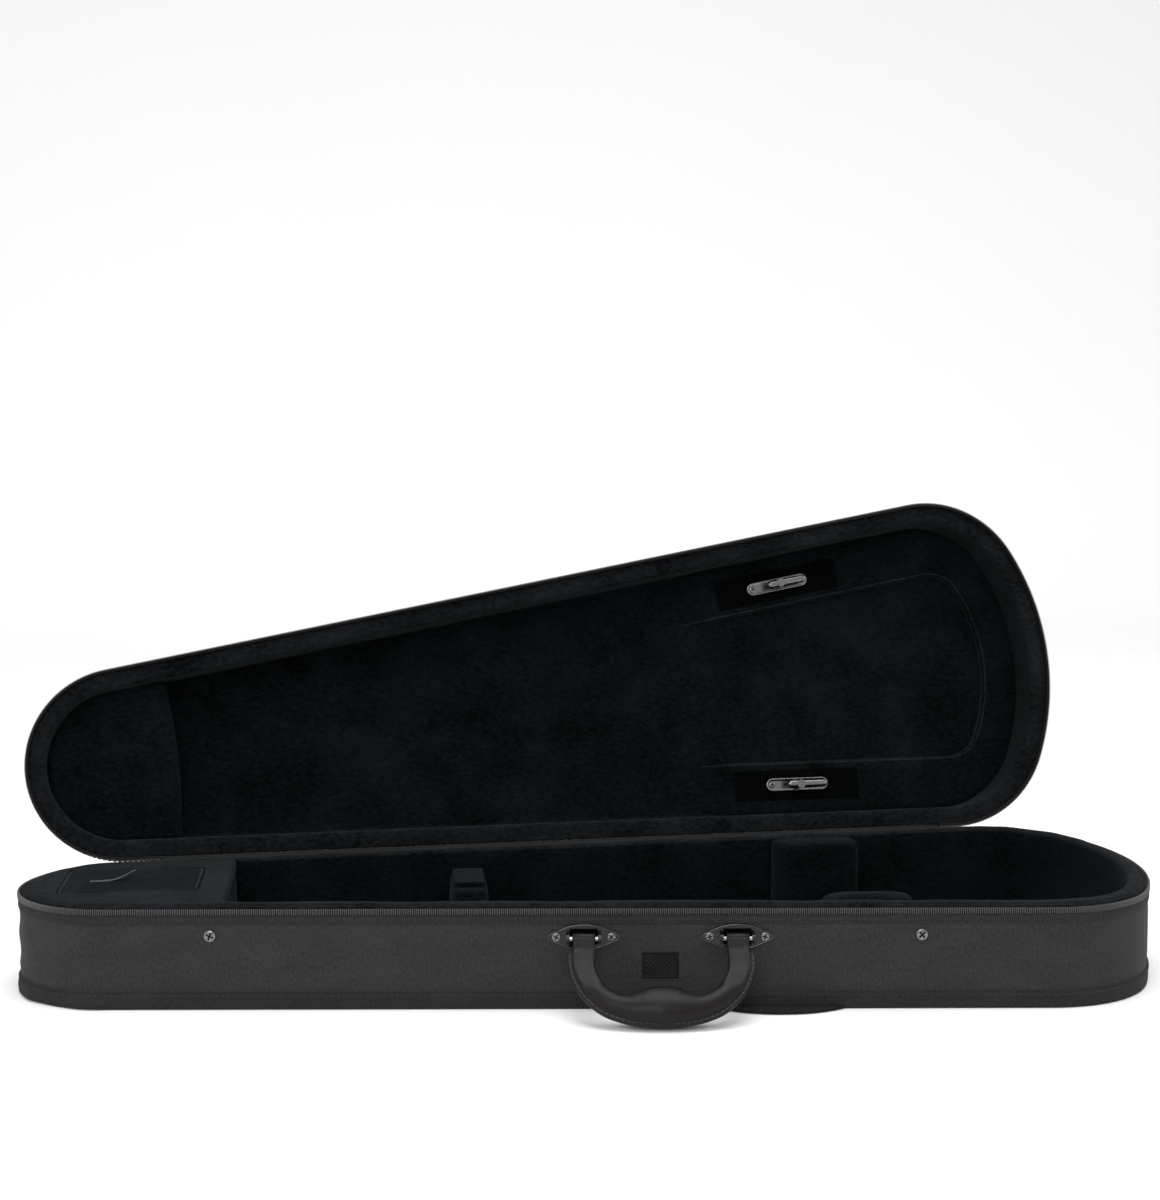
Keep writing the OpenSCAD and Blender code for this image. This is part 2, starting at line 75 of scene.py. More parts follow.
class Surface:
    """A material under construction, with short ways to add and join its nodes."""

    def __init__(self, name: str, coords: Coords = Coords.SOLID) -> None:
        """Starts an empty material with its shader.

        Args:
            name: the material's name.
            coords: where the pattern takes its place from.
        """
        self.material = bpy.data.materials.new(name)
        self.material.use_nodes = True
        self.tree = self.material.node_tree
        self.shader = self.tree.nodes["Principled BSDF"]
        self.place = self.tree.nodes.new("ShaderNodeTexCoord").outputs[coords.value]

    def settle(self, **values: object) -> "Surface":
        """Sets plain values on the shader's own sockets.

        Args:
            values: socket names, with _ for a space, and their values.

        Returns:
            The surface itself.
        """
        for key, value in values.items():
            self.shader.inputs[key.replace("_", " ")].default_value = value
        return self

    def math(self, operation: str, a: object, b: object = 0.0) -> bpy.types.NodeSocket:
        """Adds a Math node.

        Args:
            operation: the node's operation.
            a: a socket or a number.
            b: a socket or a number.

        Returns:
            The node's result.
        """
        node = self.tree.nodes.new("ShaderNodeMath")
        node.operation = operation
        for i, value in enumerate((a, b)):
            if isinstance(value, (int, float)):
                node.inputs[i].default_value = value
            else:
                self.tree.links.new(value, node.inputs[i])
        return node.outputs[0]

    def noise(self, scale: float, detail: float = 2.0, stretch: Sequence[float] = (1, 1, 1)) -> bpy.types.NodeSocket:
        """Adds a noise pattern.

        Args:
            scale: how many features a metre holds.
            detail: how many finer layers it has.
            stretch: a factor for each axis.

        Returns:
            The pattern's strength, about 0.5 on average.
        """
        mapping = self.tree.nodes.new("ShaderNodeMapping")
        mapping.inputs["Scale"].default_value = stretch
        self.tree.links.new(self.place, mapping.inputs["Vector"])
        node = self.tree.nodes.new("ShaderNodeTexNoise")
        node.inputs["Scale"].default_value = scale
        node.inputs["Detail"].default_value = detail
        self.tree.links.new(mapping.outputs[0], node.inputs["Vector"])
        return node.outputs[0]

    def spread(self, pattern: bpy.types.NodeSocket, contrast: float) -> bpy.types.NodeSocket:
        """Draws a pattern's light and dark further apart.

        Args:
            pattern: a pattern that is 0.5 on average.
            contrast: how many times further apart.

        Returns:
            The pattern, kept from 0 to 1.
        """
        shifted = self.math("MULTIPLY", self.math("SUBTRACT", pattern, 0.5), contrast)
        grown = self.math("ADD", shifted, 0.5)
        return self.math("MINIMUM", self.math("MAXIMUM", grown, 0.0), 1.0)

    def cells(self, scale: float) -> bpy.types.NodeSocket:
        """Adds a pattern of cells, as leather grain or foam has.

        Args:
            scale: how many cells a metre holds.

        Returns:
            The distance to the nearest cell's middle.
        """
        node = self.tree.nodes.new("ShaderNodeTexVoronoi")
        node.inputs["Scale"].default_value = scale
        self.tree.links.new(self.place, node.inputs["Vector"])
        return node.outputs["Distance"]

    def weave(self, pitch: float, herringbone: bool = False) -> bpy.types.NodeSocket:
        """Adds a woven relief.

        Args:
            pitch: the distance from thread to thread, in metres.
            herringbone: slants the threads, the other way in each rib.

        Returns:
            The relief's height, from 0 to 1.
        """
        parts = self.tree.nodes.new("ShaderNodeSeparateXYZ")
        self.tree.links.new(self.place, parts.inputs[0])
        turn = 2 * math.pi / pitch
        across = self.math("MULTIPLY", parts.outputs[0], turn)
        along = self.math("MULTIPLY", parts.outputs[1], turn)
        if herringbone:
            rib = self.math("PINGPONG", self.math("MULTIPLY", parts.outputs[1], 1 / (6 * pitch)), 0.5)
            slant = self.math("ADD", across, self.math("MULTIPLY", rib, 12 * math.pi))
            return self.math("ADD", self.math("MULTIPLY", self.math("SINE", slant), 0.5), 0.5)
        depth = self.math("MULTIPLY", parts.outputs[2], turn)
        product = self.math("MULTIPLY", self.math("SINE", self.math("ADD", across, depth)), self.math("SINE", along))
        return self.math("ADD", self.math("MULTIPLY", product, 0.5), 0.5)

    def tint(self, low: Sequence[float], high: Sequence[float], share: bpy.types.NodeSocket) -> None:
        """Colours the surface between two tones.

        Args:
            low: the tone where share is 0.
            high: the tone where share is 1.
            share: the pattern that picks between them.
        """
        mix = self.tree.nodes.new("ShaderNodeMix")
        mix.data_type = "RGBA"
        mix.inputs["A"].default_value = (*low, 1)
        mix.inputs["B"].default_value = (*high, 1)
        self.tree.links.new(share, mix.inputs["Factor"])
        self.tree.links.new(mix.outputs["Result"], self.shader.inputs["Base Color"])

    def roughen(self, pattern: bpy.types.NodeSocket, low: float, high: float) -> None:
        """Lets the roughness follow a pattern.

        Args:
            pattern: the pattern, from 0 to 1.
            low: the roughness where it is 0.
            high: the roughness where it is 1.
        """
        value = self.math("ADD", self.math("MULTIPLY", pattern, high - low), low)
        self.tree.links.new(value, self.shader.inputs["Roughness"])

    def relief(self, *layers: tuple[bpy.types.NodeSocket, float]) -> None:
        """Raises the surface by one or more patterns.

        Args:
            layers: each a pattern and its height in metres.
        """
        normal = None
        for pattern, height in layers:
            bump = self.tree.nodes.new("ShaderNodeBump")
            bump.inputs["Strength"].default_value = 1.0
            bump.inputs["Distance"].default_value = height
            self.tree.links.new(pattern, bump.inputs["Height"])
            if normal is not None:
                self.tree.links.new(normal, bump.inputs["Normal"])
            normal = bump.outputs[0]
        self.tree.links.new(normal, self.shader.inputs["Normal"])


def scaled(colour: Sequence[float], factor: float) -> tuple[float, ...]:
    """A colour made lighter or darker by a factor."""
    return tuple(min(1.0, c * factor) for c in colour)


@dataclass(frozen=True)
class Woven:
    """A woven cloth, with threads, faint streaks and a little wear."""

    name: str
    colour: tuple[float, float, float]
    pitch: float = 0.0011
    height: float = 0.00012
    sheen: float = 0.012
    herringbone: bool = False
    coords: Coords = Coords.CLOTH

    def material(self) -> bpy.types.Material:
        """Builds the cloth's material.

        Returns:
            The material.
        """
        s = Surface(self.name, self.coords)
        threads = s.weave(self.pitch, self.herringbone)
        streaks = s.noise(60, 3, (0.4, 1, 1))
        slubs = s.noise(620, 2, (1, 0.55, 1))
        broad = s.math("ADD", s.math("MULTIPLY", threads, 0.3), s.math("MULTIPLY", streaks, 0.25))
        share = s.spread(s.math("ADD", broad, s.math("MULTIPLY", slubs, 0.45)), 2.2)
        s.tint(scaled(self.colour, 0.45), scaled(self.colour, 1.6), share)
        s.roughen(streaks, 0.6, 0.86)
        s.relief((threads, self.height), (slubs, self.height * 1.5))
        s.settle(Sheen_Weight=self.sheen, Sheen_Roughness=0.5, Specular_IOR_Level=0.1)
        return s.material


@dataclass(frozen=True)
class Plush:
    """A short-pile plush, with a nap that lies different ways in patches."""

    name: str
    colour: tuple[float, float, float]
    sheen: float = 0.35
    pile: float = 0.0004

    def material(self) -> bpy.types.Material:
        """Builds the plush's material.

        Returns:
            The material.
        """
        s = Surface(self.name)
        nap = s.noise(24, 4)
        tufts = s.noise(420, 3, (0.6, 1, 1))
        share = s.math("ADD", s.math("MULTIPLY", nap, 0.5), s.math("MULTIPLY", tufts, 0.5))
        s.tint(scaled(self.colour, 0.12), scaled(self.colour, 2.5), s.spread(share, 3.2))
        s.roughen(nap, 0.85, 1.0)
        s.relief((tufts, self.pile), (s.noise(90, 2), self.pile * 1.6))
        s.settle(
            Sheen_Weight=self.sheen, Sheen_Roughness=0.6, Sheen_Tint=(0.86, 0.97, 1.0, 1), Specular_IOR_Level=0.012
        )
        return s.material


@dataclass(frozen=True)
class Leather:
    """A grained leather with a worn shine."""

    name: str
    colour: tuple[float, float, float]
    grain: float = 900
    height: float = 0.00012
    gloss: float = 0.34

    def material(self) -> bpy.types.Material:
        """Builds the leather's material.

        Returns:
            The material.
        """
        s = Surface(self.name)
        grain = s.cells(self.grain)
        wear = s.noise(70, 3)
        s.tint(scaled(self.colour, 0.7), scaled(self.colour, 1.5), s.math("MULTIPLY", grain, wear))
        s.roughen(wear, self.gloss - 0.08, self.gloss + 0.18)
        s.relief((grain, self.height), (s.noise(3500, 1), self.height * 0.3))
        s.settle(Specular_IOR_Level=0.16, Coat_Weight=0.02, Coat_Roughness=0.2)
        return s.material


@dataclass(frozen=True)
class Metal:
    """A plated or painted metal, with fine brush marks and handling marks."""

    name: str
    colour: tuple[float, float, float]
    rough: float = 0.18
    brushed: float = 0.00001

    def material(self) -> bpy.types.Material:
        """Builds the metal's material.

        Returns:
            The material.
        """
        s = Surface(self.name)
        marks = s.noise(300, 3)
        s.tint(scaled(self.colour, 0.82), scaled(self.colour, 1.15), marks)
        s.roughen(marks, self.rough * 0.7, self.rough * 1.5)
        s.relief((s.noise(4000, 2, (0.1, 1, 1)), self.brushed))
        s.settle(Metallic=1.0)
        return s.material


@dataclass(frozen=True)
class Moulded:
    """A moulded plastic, rubber, thread or foam, with a fine skin texture."""

    name: str
    colour: tuple[float, float, float]
    rough: float = 0.5
    grain: float = 1600
    height: float = 0.00005
    open_cells: bool = False
    shine: float = 0.5

    def material(self) -> bpy.types.Material:
        """Builds the moulded material.

        Returns:
            The material.
        """
        s = Surface(self.name)
        skin = s.cells(self.grain) if self.open_cells else s.noise(self.grain, 2)
        s.tint(scaled(self.colour, 0.75), scaled(self.colour, 1.3), skin)
        s.roughen(skin, self.rough - 0.1, self.rough + 0.12)
        s.relief((skin, self.height))
        s.settle(Specular_IOR_Level=self.shine)
        return s.material


class Wardrobe:
    """Every finish of the case, each made once."""

    def __init__(self) -> None:
        """Builds the materials."""
        self.cover = Woven("cover_cloth", (0.0225, 0.0223, 0.0232)).material()
        self.cover_solid = Woven("cover_cloth_solid", (0.0225, 0.0223, 0.0232), coords=Coords.SOLID).material()
        self.binding = Woven("binding_tape", (0.0165, 0.0163, 0.0172), 0.0008, 0.0001, 0.01, True).material()
        self.tape = Woven("zip_tape_cloth", (0.0185, 0.0183, 0.0192), 0.0009, 0.00008, 0.01, True).material()
        self.webbing = Woven("strap_webbing", (0.010, 0.010, 0.011), 0.0024, 0.0004, 0.015, True).material()
        self.hinge = Woven("hinge_cloth", (0.009, 0.0095, 0.010)).material()
        self.plush = Plush("black_plush", (0.0015, 0.0023, 0.0027), 0.02).material()
        # the same black plush made lighter: painted highlight for the lit top of the padded rims
        self.plush_highlit_rim = Plush("black_plush_painted_highlight", (0.0034, 0.0038, 0.0044), 0.026).material()
        self.plush_patch = Plush("black_plush_patch", (0.0006, 0.0007, 0.0007), 0.006).material()
        # plush made lighter for the piping: painted highlight along lit edges and ridges
        self.piping = Plush("plush_piping_painted_highlight", (0.0052, 0.0056, 0.0058), 0.04, 0.0002).material()
        self.leather = Leather("handle_leather", (0.0052, 0.0037, 0.0046)).material()
        # the welt's cut edge: its own smoother finish, made lighter as a painted highlight
        self.leather_edge = Leather("leather_edge", (0.006, 0.005, 0.0058), 1500, 0.00005, 0.45).material()
        self.thread = Moulded("sewing_thread", (0.010, 0.010, 0.0105), 0.7, 5000, 0.00003).material()
        self.thread_leather = Moulded("leather_thread", (0.030, 0.024, 0.028), 0.5, 5000, 0.00003).material()
        self.teeth = Moulded("coil_teeth", (0.055, 0.0545, 0.056), 0.36, 900, 0.00001, shine=0.35).material()
        self.rubber = Moulded("rubber_patch", (0.0048, 0.0050, 0.0056), 0.45, 1800, 0.00003, shine=0.12).material()
        # near-black, not metal: painted shade inside the screws' cross slots
        self.slot_shade = Moulded("screw_slot_painted_shade", (0.004, 0.004, 0.004), 0.5, shine=0.1).material()
        self.cord = Woven("zip_cord", (0.006, 0.006, 0.0065), 0.0009, 0.00008, 0.0, True).material()
        # near-black teal: painted shade for the deep pockets behind the handle plates' windows
        self.pocket = Moulded("pocket_painted_shade", (0.0006, 0.0016, 0.0016), 0.6, shine=0.02).material()
        self.foam = Moulded("grey_foam", (0.42, 0.41, 0.39), 0.85, 700, 0.0003, True).material()
        self.ribbon = Woven("satin_ribbon", (0.035, 0.037, 0.040), 0.0006, 0.00003, 0.1, coords=Coords.SOLID).material()
        self.chrome = Metal("chrome", (0.30, 0.30, 0.305), 0.14).material()
        self.dark_metal = Metal("dark_plate_metal", (0.027, 0.029, 0.028), 0.16).material()
        self.satin = Metal("satin_clip_metal", (0.17, 0.165, 0.163), 0.22).material()
        # the plates' metal made lighter for their rolled edge: painted highlight
        self.rim_highlight_metal = Metal("plate_rim_painted_highlight", (0.075, 0.074, 0.073), 0.16).material()
        self.zip_metal = Metal("zip_metal", (0.035, 0.035, 0.037), 0.3).material()


# ---------------------------------------------------------------- the outline


@dataclass(frozen=True)
class Station:
    """One place on the case's outline, with the way that faces out of the case."""

    x: float
    y: float
    nx: float
    ny: float
    s: float

    def at(self, depth: float, z: float) -> Vector:
        """The point that lies depth inside the outline, at height z."""
        return Vector((self.x - self.nx * depth, self.y - self.ny * depth, z))


@dataclass(frozen=True)
class Outline:
    """The case from above: a half-round narrow end, two straight sides and a shallow wide end."""

    length: float = 0.780
    wide: float = 0.252
    narrow: float = 0.140
    corner_r: float = 0.079
    end_r: float = 0.187

    @property
    def narrow_r(self) -> float:
        """The narrow end's radius."""
        return self.narrow / 2

    @property
    def narrow_x(self) -> float:
        """The narrow end's centre."""
        return self.narrow_r - self.length / 2

    @property
    def end_x(self) -> float:
        """The wide end's centre."""
        return self.length / 2 - self.end_r

    @property
    def corner(self) -> tuple[float, float]:
        """The centre of the back corner's arc."""
        y = self.wide / 2 - self.corner_r
        return self.end_x + math.sqrt((self.end_r - self.corner_r) ** 2 - y * y), y

    @property
    def end_a(self) -> float:
        """Half the wide end's angle."""
        return math.atan2(self.corner[1], self.corner[0] - self.end_x)

    @property
    def side_a(self) -> float:
        """The angle of the way that the back side faces.

        Returns:
            The angle in radians, anticlockwise from the case's long axis.
        """
        x, y = self.corner
        run = math.hypot(x - self.narrow_x, y)
        return math.atan2(y, x - self.narrow_x) + math.acos((self.narrow_r - self.corner_r) / run)

    @property
    def side_start(self) -> Vector:
        """The narrow end of the back side's straight line."""
        a, r = self.side_a, self.narrow_r
        return Vector((self.narrow_x + r * math.cos(a), r * math.sin(a), 0))

    @property
    def side_along(self) -> Vector:
        """The way that the back side runs, from the narrow end."""
        tilt = self.side_a - math.pi / 2
        return Vector((math.cos(tilt), math.sin(tilt), 0))

    @property
    def side_l(self) -> float:
        """The length of a straight side.

        Returns:
            The length in metres.
        """
        x, y = self.corner
        end = Vector((x + self.corner_r * math.cos(self.side_a), y + self.corner_r * math.sin(self.side_a), 0))
        return (end - self.side_start).length

    def stations(self, step: float) -> list[Station]:
        """Walks once round the outline.

        Args:
            step: the wanted distance from place to place.

        Returns:
            The places, anticlockwise from the wide end's front.
        """
        x, y = self.corner
        arcs = [
            (self.end_x, 0.0, self.end_r, -self.end_a, self.end_a),
            (x, y, self.corner_r, self.end_a, self.side_a),
            (self.narrow_x, 0.0, self.narrow_r, self.side_a, 2 * math.pi - self.side_a),
            (x, -y, self.corner_r, 2 * math.pi - self.side_a, 2 * math.pi - self.end_a),
        ]
        found: list[Station] = []
        run = 0.0
        for i, (cx, cy, r, a0, a1) in enumerate(arcs):
            n = max(6, round(r * (a1 - a0) / step))
            for k in range(n):
                a = a0 + (a1 - a0) * k / n
                found.append(
                    Station(cx + r * math.cos(a), cy + r * math.sin(a), math.cos(a), math.sin(a), run + r * (a - a0))
                )
            run += r * (a1 - a0)
            if i in (1, 2):
                here = Vector((cx + r * math.cos(a1), cy + r * math.sin(a1)))
                there = arcs[i + 1]
                goal = Vector((there[0] + there[2] * math.cos(a1), there[1] + there[2] * math.sin(a1)))
                n = round((goal - here).length / step)
                for k in range(n):
                    p = here.lerp(goal, k / n)
                    found.append(Station(p.x, p.y, math.cos(a1), math.sin(a1), run + (p - here).length))
                run += (goal - here).length
        return found

    def back(self, s: float, depth: float, z: float) -> Vector:
        """A point on the back side, s along it and depth inside it."""
        a = self.side_along
        return self.side_start + a * s + Vector((a.y, -a.x, 0)) * depth + Vector((0, 0, z))

    def front(self, s: float, depth: float, z: float) -> Vector:
        """A point on the front side, s along it and depth inside it."""
        p = self.back(s, depth, z)
        return Vector((p.x, -p.y, p.z))

    def along_back(self, p: Station) -> float:
        """How far along the back side's line a place lies."""
        return (Vector((p.x, p.y, 0)) - self.side_start).dot(self.side_along)

    def half_width(self, x: float, depth: float) -> float:
        """Half the width at x, inside the outline by depth.

        Args:
            x: the place along the case.
            depth: the distance inside the outline.

        Returns:
            Half the width there, or 0 past the narrow end.
        """
        turn = self.narrow_x + (self.narrow_r - depth) * math.cos(self.side_a)
        if x < turn:
            return math.sqrt(max(0.0, (self.narrow_r - depth) ** 2 - (x - self.narrow_x) ** 2))
        a = self.side_along
        start = self.side_start + Vector((a.y, -a.x, 0)) * depth
        return start.y + (x - start.x) * a.y / a.x


def ripple(x: float, y: float, z: float, size: float, seed: float = 0.0) -> float:
    """Smooth seeded unevenness from about -1 to 1, where size is one ripple's size in metres."""
    return noise.noise(Vector((x / size + seed, y / size + seed * 0.7, z / size)))


def smooth(t: float) -> float:
    """Eases from 0 at t = 0 to 1 at t = 1."""
    t = min(1.0, max(0.0, t))
    return t * t * (3 - 2 * t)


# ---------------------------------------------------------------- making meshes


def add_object(name: str, mesh: bpy.types.Mesh, *materials: bpy.types.Material) -> bpy.types.Object:
    """Puts a mesh in the scene, shaded smooth.

    Args:
        name: the piece's name.
        mesh: its mesh.
        materials: its materials, in slot order.

    Returns:
        The new object.
    """
    piece = bpy.data.objects.new(name, mesh)
    bpy.context.scene.collection.objects.link(piece)
    for material in materials:
        mesh.materials.append(material)
    mesh.polygons.foreach_set("use_smooth", [True] * len(mesh.polygons))
    return piece


def grid_mesh(
    name: str, rows: Sequence[Sequence[Vector]], cloth: Sequence[Sequence[Row]],
    wrap: tuple[bool, bool] = (False, False),
) -> bpy.types.Mesh:
    """Makes a mesh from rows of points.

    Args:
        name: the mesh's name.
        rows: the points, each row the same length.
        cloth: where each point lies on the flat cloth, in metres.
        wrap: whether the rows, and the points in a row, close on themselves.

    Returns:
        The mesh, with its cloth places as UVs.
    """
    n, m = len(rows), len(rows[0])
    faces: list[tuple[int, ...]] = []
    places: list[Row] = []
    pitch_u = cloth[1][0][0] - cloth[0][0][0]
    pitch_v = cloth[0][1][1] - cloth[0][0][1]
    for i in range(n if wrap[0] else n - 1):
        for j in range(m if wrap[1] else m - 1):
            i1, j1 = (i + 1) % n, (j + 1) % m
            faces.append((i * m + j, i1 * m + j, i1 * m + j1, i * m + j1))
            u0, v0 = cloth[i][j]
            u1 = cloth[i1][j][0] if i1 else u0 + pitch_u
            v1 = cloth[i][j1][1] if j1 else v0 + pitch_v
            places += [(u0, v0), (u1, v0), (u1, v1), (u0, v1)]
    mesh = bpy.data.meshes.new(name)
    mesh.from_pydata([p for row in rows for p in row], [], faces)
    layer = mesh.uv_layers.new(name="cloth")
    layer.data.foreach_set("uv", [c for place in places for c in place])
    return mesh


@contextmanager
def opened(mesh: bpy.types.Mesh) -> Iterator[bmesh.types.BMesh]:
    """Opens a mesh for editing, and writes it back at the end.

    Args:
        mesh: the mesh.

    Returns:
        Its points and faces, for the length of a with block.
    """
    shape = bmesh.new()
    shape.from_mesh(mesh)
    shape.verts.ensure_lookup_table()
    yield shape
    shape.to_mesh(mesh)
    shape.free()


def face_outwards(mesh: bpy.types.Mesh) -> None:
    """Turns a closed mesh's faces outwards."""
    with opened(mesh) as shape:
        bmesh.ops.recalc_face_normals(shape, faces=shape.faces)


def close_loops(mesh: bpy.types.Mesh, *loops: Sequence[int]) -> None:
    """Closes a mesh's open loops, each with one face, and turns the faces outwards.

    Args:
        mesh: the mesh.
        loops: the numbers of the points round each loop.
    """
    with opened(mesh) as shape:
        for loop in loops:
            shape.faces.new([shape.verts[i] for i in loop])
        bmesh.ops.recalc_face_normals(shape, faces=shape.faces)


def close_ends(mesh: bpy.types.Mesh, rows: int, across: int) -> None:
    """Closes the two open ends of a tube-like mesh, made of rows with so many points across."""
    close_loops(mesh, range(across), range((rows - 1) * across, rows * across))


def add_lug(verts: list[Vector], faces: list[tuple[int, ...]], rings: Sequence[Sequence[Vector]]) -> None:
    """Adds a small closed body, made of rings of points from end to end.

    Args:
        verts: the mesh's points so far.
        faces: its faces so far.
        rings: the body's rings, each the same length.
    """
    n = len(rings[0])
    for ring in rings:
        base = len(verts)
        verts += ring
        if ring is not rings[-1]:
            faces += [(base + q, base + (q + 1) % n, base + n + (q + 1) % n, base + n + q) for q in range(n)]
    faces.append(tuple(reversed(range(len(verts) - n * len(rings), len(verts) - n * len(rings) + n))))
    faces.append(tuple(range(len(verts) - n, len(verts))))


@dataclass
class Sweep:
    """Skins and rings that follow the case's outline."""

    outline: Outline
    turn: Matrix = field(default_factory=lambda: Matrix.Identity(4))

    def skin(
        self, name: str, stations: Sequence[Station], profile: Profile, closed: bool = True, ring: bool = False,
        flip: bool = False, fill: bool = False,
    ) -> bpy.types.Mesh:
        """Carries a profile round the outline.

        Args:
            name: the mesh's name.
            stations: the places that it passes.
            profile: gives (depth, z) for each point of the profile at a place.
            closed: joins the last place to the first.
            ring: joins the profile's last point to its first.
            flip: turns the faces the other way.
            fill: closes the loop that the profile's last points make.

        Returns:
            The mesh.
        """
        rows, cloth = [], []
        for p in stations:
            points = [p.at(d, z) for d, z in profile(p)]
            run, here = 0.0, []
            for a, b in zip([points[0], *points], points):
                run += (b - a).length
                here.append((p.s, run))
            rows.append([self.turn @ q for q in points])
            cloth.append(here)
        mesh = grid_mesh(name, rows, cloth, (closed, ring))
        m = len(rows[0])
        with opened(mesh) as shape:
            if fill:
                face = shape.faces.new([shape.verts[i * m + m - 1] for i in range(len(rows))])
                layer = shape.loops.layers.uv.active
                for loop in face.loops:
                    q = self.turn.inverted() @ loop.vert.co
                    loop[layer].uv = (q.x, q.y)
            if ring and not closed:
                for end in (0, len(rows) - 1):
                    shape.faces.new([shape.verts[end * m + j] for j in range(m)])
            if ring or fill:
                bmesh.ops.recalc_face_normals(shape, faces=shape.faces)
            if flip:
                bmesh.ops.reverse_faces(shape, faces=shape.faces)
        return mesh


@dataclass(frozen=True)
class Seam:
    """A row of stitches."""

    stitch: float = 0.0029
    gap: float = 0.0009
    radius: float = 0.00030

    def sew(self, name: str, paths: Sequence[Sequence[tuple[Vector, Vector]]]) -> bpy.types.Mesh:
        """Lays stitches along paths.

        Args:
            name: the mesh's name.
            paths: each a list of points with the way that faces out there.

        Returns:
            One mesh of all the stitches.
        """
        verts: list[Vector] = []
        faces: list[tuple[int, ...]] = []
        for path in paths:
            run = [0.0]
            for (a, _), (b, _) in zip(path, path[1:]):
                run.append(run[-1] + (b - a).length)
            pitch = self.stitch + self.gap
            at, k = pitch / 2, 0
            while at + self.stitch / 2 < run[-1]:
                while run[k + 1] < at:
                    k += 1
                share = (at - run[k]) / (run[k + 1] - run[k])
                middle = path[k][0].lerp(path[k + 1][0], share)
                out = path[k][1].lerp(path[k + 1][1], share).normalized()
                along = (path[k + 1][0] - path[k][0]).normalized()
                side = along.cross(out)
                rings = []
                for where, wide, lift in ((-0.5, 0.35, -0.6), (-0.3, 1.0, 0.3), (0.3, 1.0, 0.3), (0.5, 0.35, -0.6)):
                    c = middle + along * (self.stitch * where) + out * (self.radius * lift)
                    angles = [2 * math.pi * q / 5 for q in range(5)]
                    rings.append([c + (out * math.cos(a) + side * math.sin(a)) * self.radius * wide for a in angles])
                add_lug(verts, faces, rings)
                at += pitch
        mesh = bpy.data.meshes.new(name)
        mesh.from_pydata(verts, [], faces)
        return mesh


@dataclass(frozen=True)
class CoilZip:
    """One row of a coil zip's teeth, each a rounded lug."""

    pitch: float = 0.00138
    wide: float = 0.00084
    deep: float = 0.0017

    def teeth(self, name: str, places: Sequence[tuple[Vector, Vector, Vector]], height: float) -> bpy.types.Mesh:
        """Makes the teeth.

        Args:
            name: the mesh's name.
            places: the middle of each tooth, the way out and the way up.
            height: how tall a tooth is.

        Returns:
            One mesh of all the teeth.
        """
        verts: list[Vector] = []
        faces: list[tuple[int, ...]] = []
        for middle, out, up in places:
            side = up.cross(out).normalized()
            rings = []
            for level, size in ((-0.5, 0.55), (-0.3, 0.95), (0.28, 1.0), (0.5, 0.5)):
                c, wide, deep = middle + up * (height * level), self.wide / 2 * size, self.deep / 2 * size
                angles = [2 * math.pi * (q + 0.5) / 6 for q in range(6)]
                rings.append([c + side * (wide * math.cos(a)) + out * (deep * math.sin(a)) for a in angles])
            add_lug(verts, faces, rings)
        mesh = bpy.data.meshes.new(name)
        mesh.from_pydata(verts, [], faces)
        return mesh


@dataclass(frozen=True)
class CrossHeadScrew:
    """A domed screw head with a cross cut into it, the cut painted near-black as shade."""

    radius: float
    rise: float = 0.0011
    slot: float = 0.00036

    def heads(self, name: str, places: Sequence[tuple[Vector, Vector]], finishes: Wardrobe) -> bpy.types.Object:
        """Makes one head at each place.

        Args:
            name: the piece's name.
            places: the middle of each head's seat and the way that it faces.
            finishes: the case's finishes.

        Returns:
            One piece with all the heads.
        """
        verts: list[Vector] = []
        faces: list[tuple[int, ...]] = []
        dark: list[int] = []
        rings, around = 14, 48
        for number, (seat, out) in enumerate(places):
            side = out.orthogonal().normalized()
            up = out.cross(side)
            spin = 0.4 + 1.1 * number
            base = len(verts)
            for i in range(rings + 1):
                share = i / rings
                r = self.radius * min(1.0, share * 1.06)
                dome = self.rise * (0.35 + 0.65 * math.sqrt(max(0.0, 1 - share * share)))
                for q in range(around):
                    a = 2 * math.pi * q / around
                    x, y = r * math.cos(a), r * math.sin(a)
                    high = 0.0 if i == rings else dome
                    if r < self.radius * 0.62 and min(abs(x), abs(y)) < self.slot:
                        high -= self.rise * 0.7
                    turn = side * math.cos(spin) + up * math.sin(spin)
                    verts.append(seat + turn * x + out.cross(turn) * y + out * high)
            for i in range(rings):
                for q in range(around):
                    b, c = base + i * around, base + (i + 1) * around
                    r = self.radius * (i + 0.5) / rings
                    a = 2 * math.pi * (q + 0.5) / around
                    # faces in the cross slot take the near-black finish: painted shade in the cut
                    if r < self.radius * 0.62 and min(abs(r * math.cos(a)), abs(r * math.sin(a))) < self.slot:
                        dark.append(len(faces))
                    faces.append((b + q, c + q, c + (q + 1) % around, b + (q + 1) % around))
        mesh = bpy.data.meshes.new(name)
        mesh.from_pydata(verts, [], faces)
        piece = add_object(name, mesh, finishes.satin, finishes.slot_shade)
        for index in dark:
            mesh.polygons[index].material_index = 1
        return piece


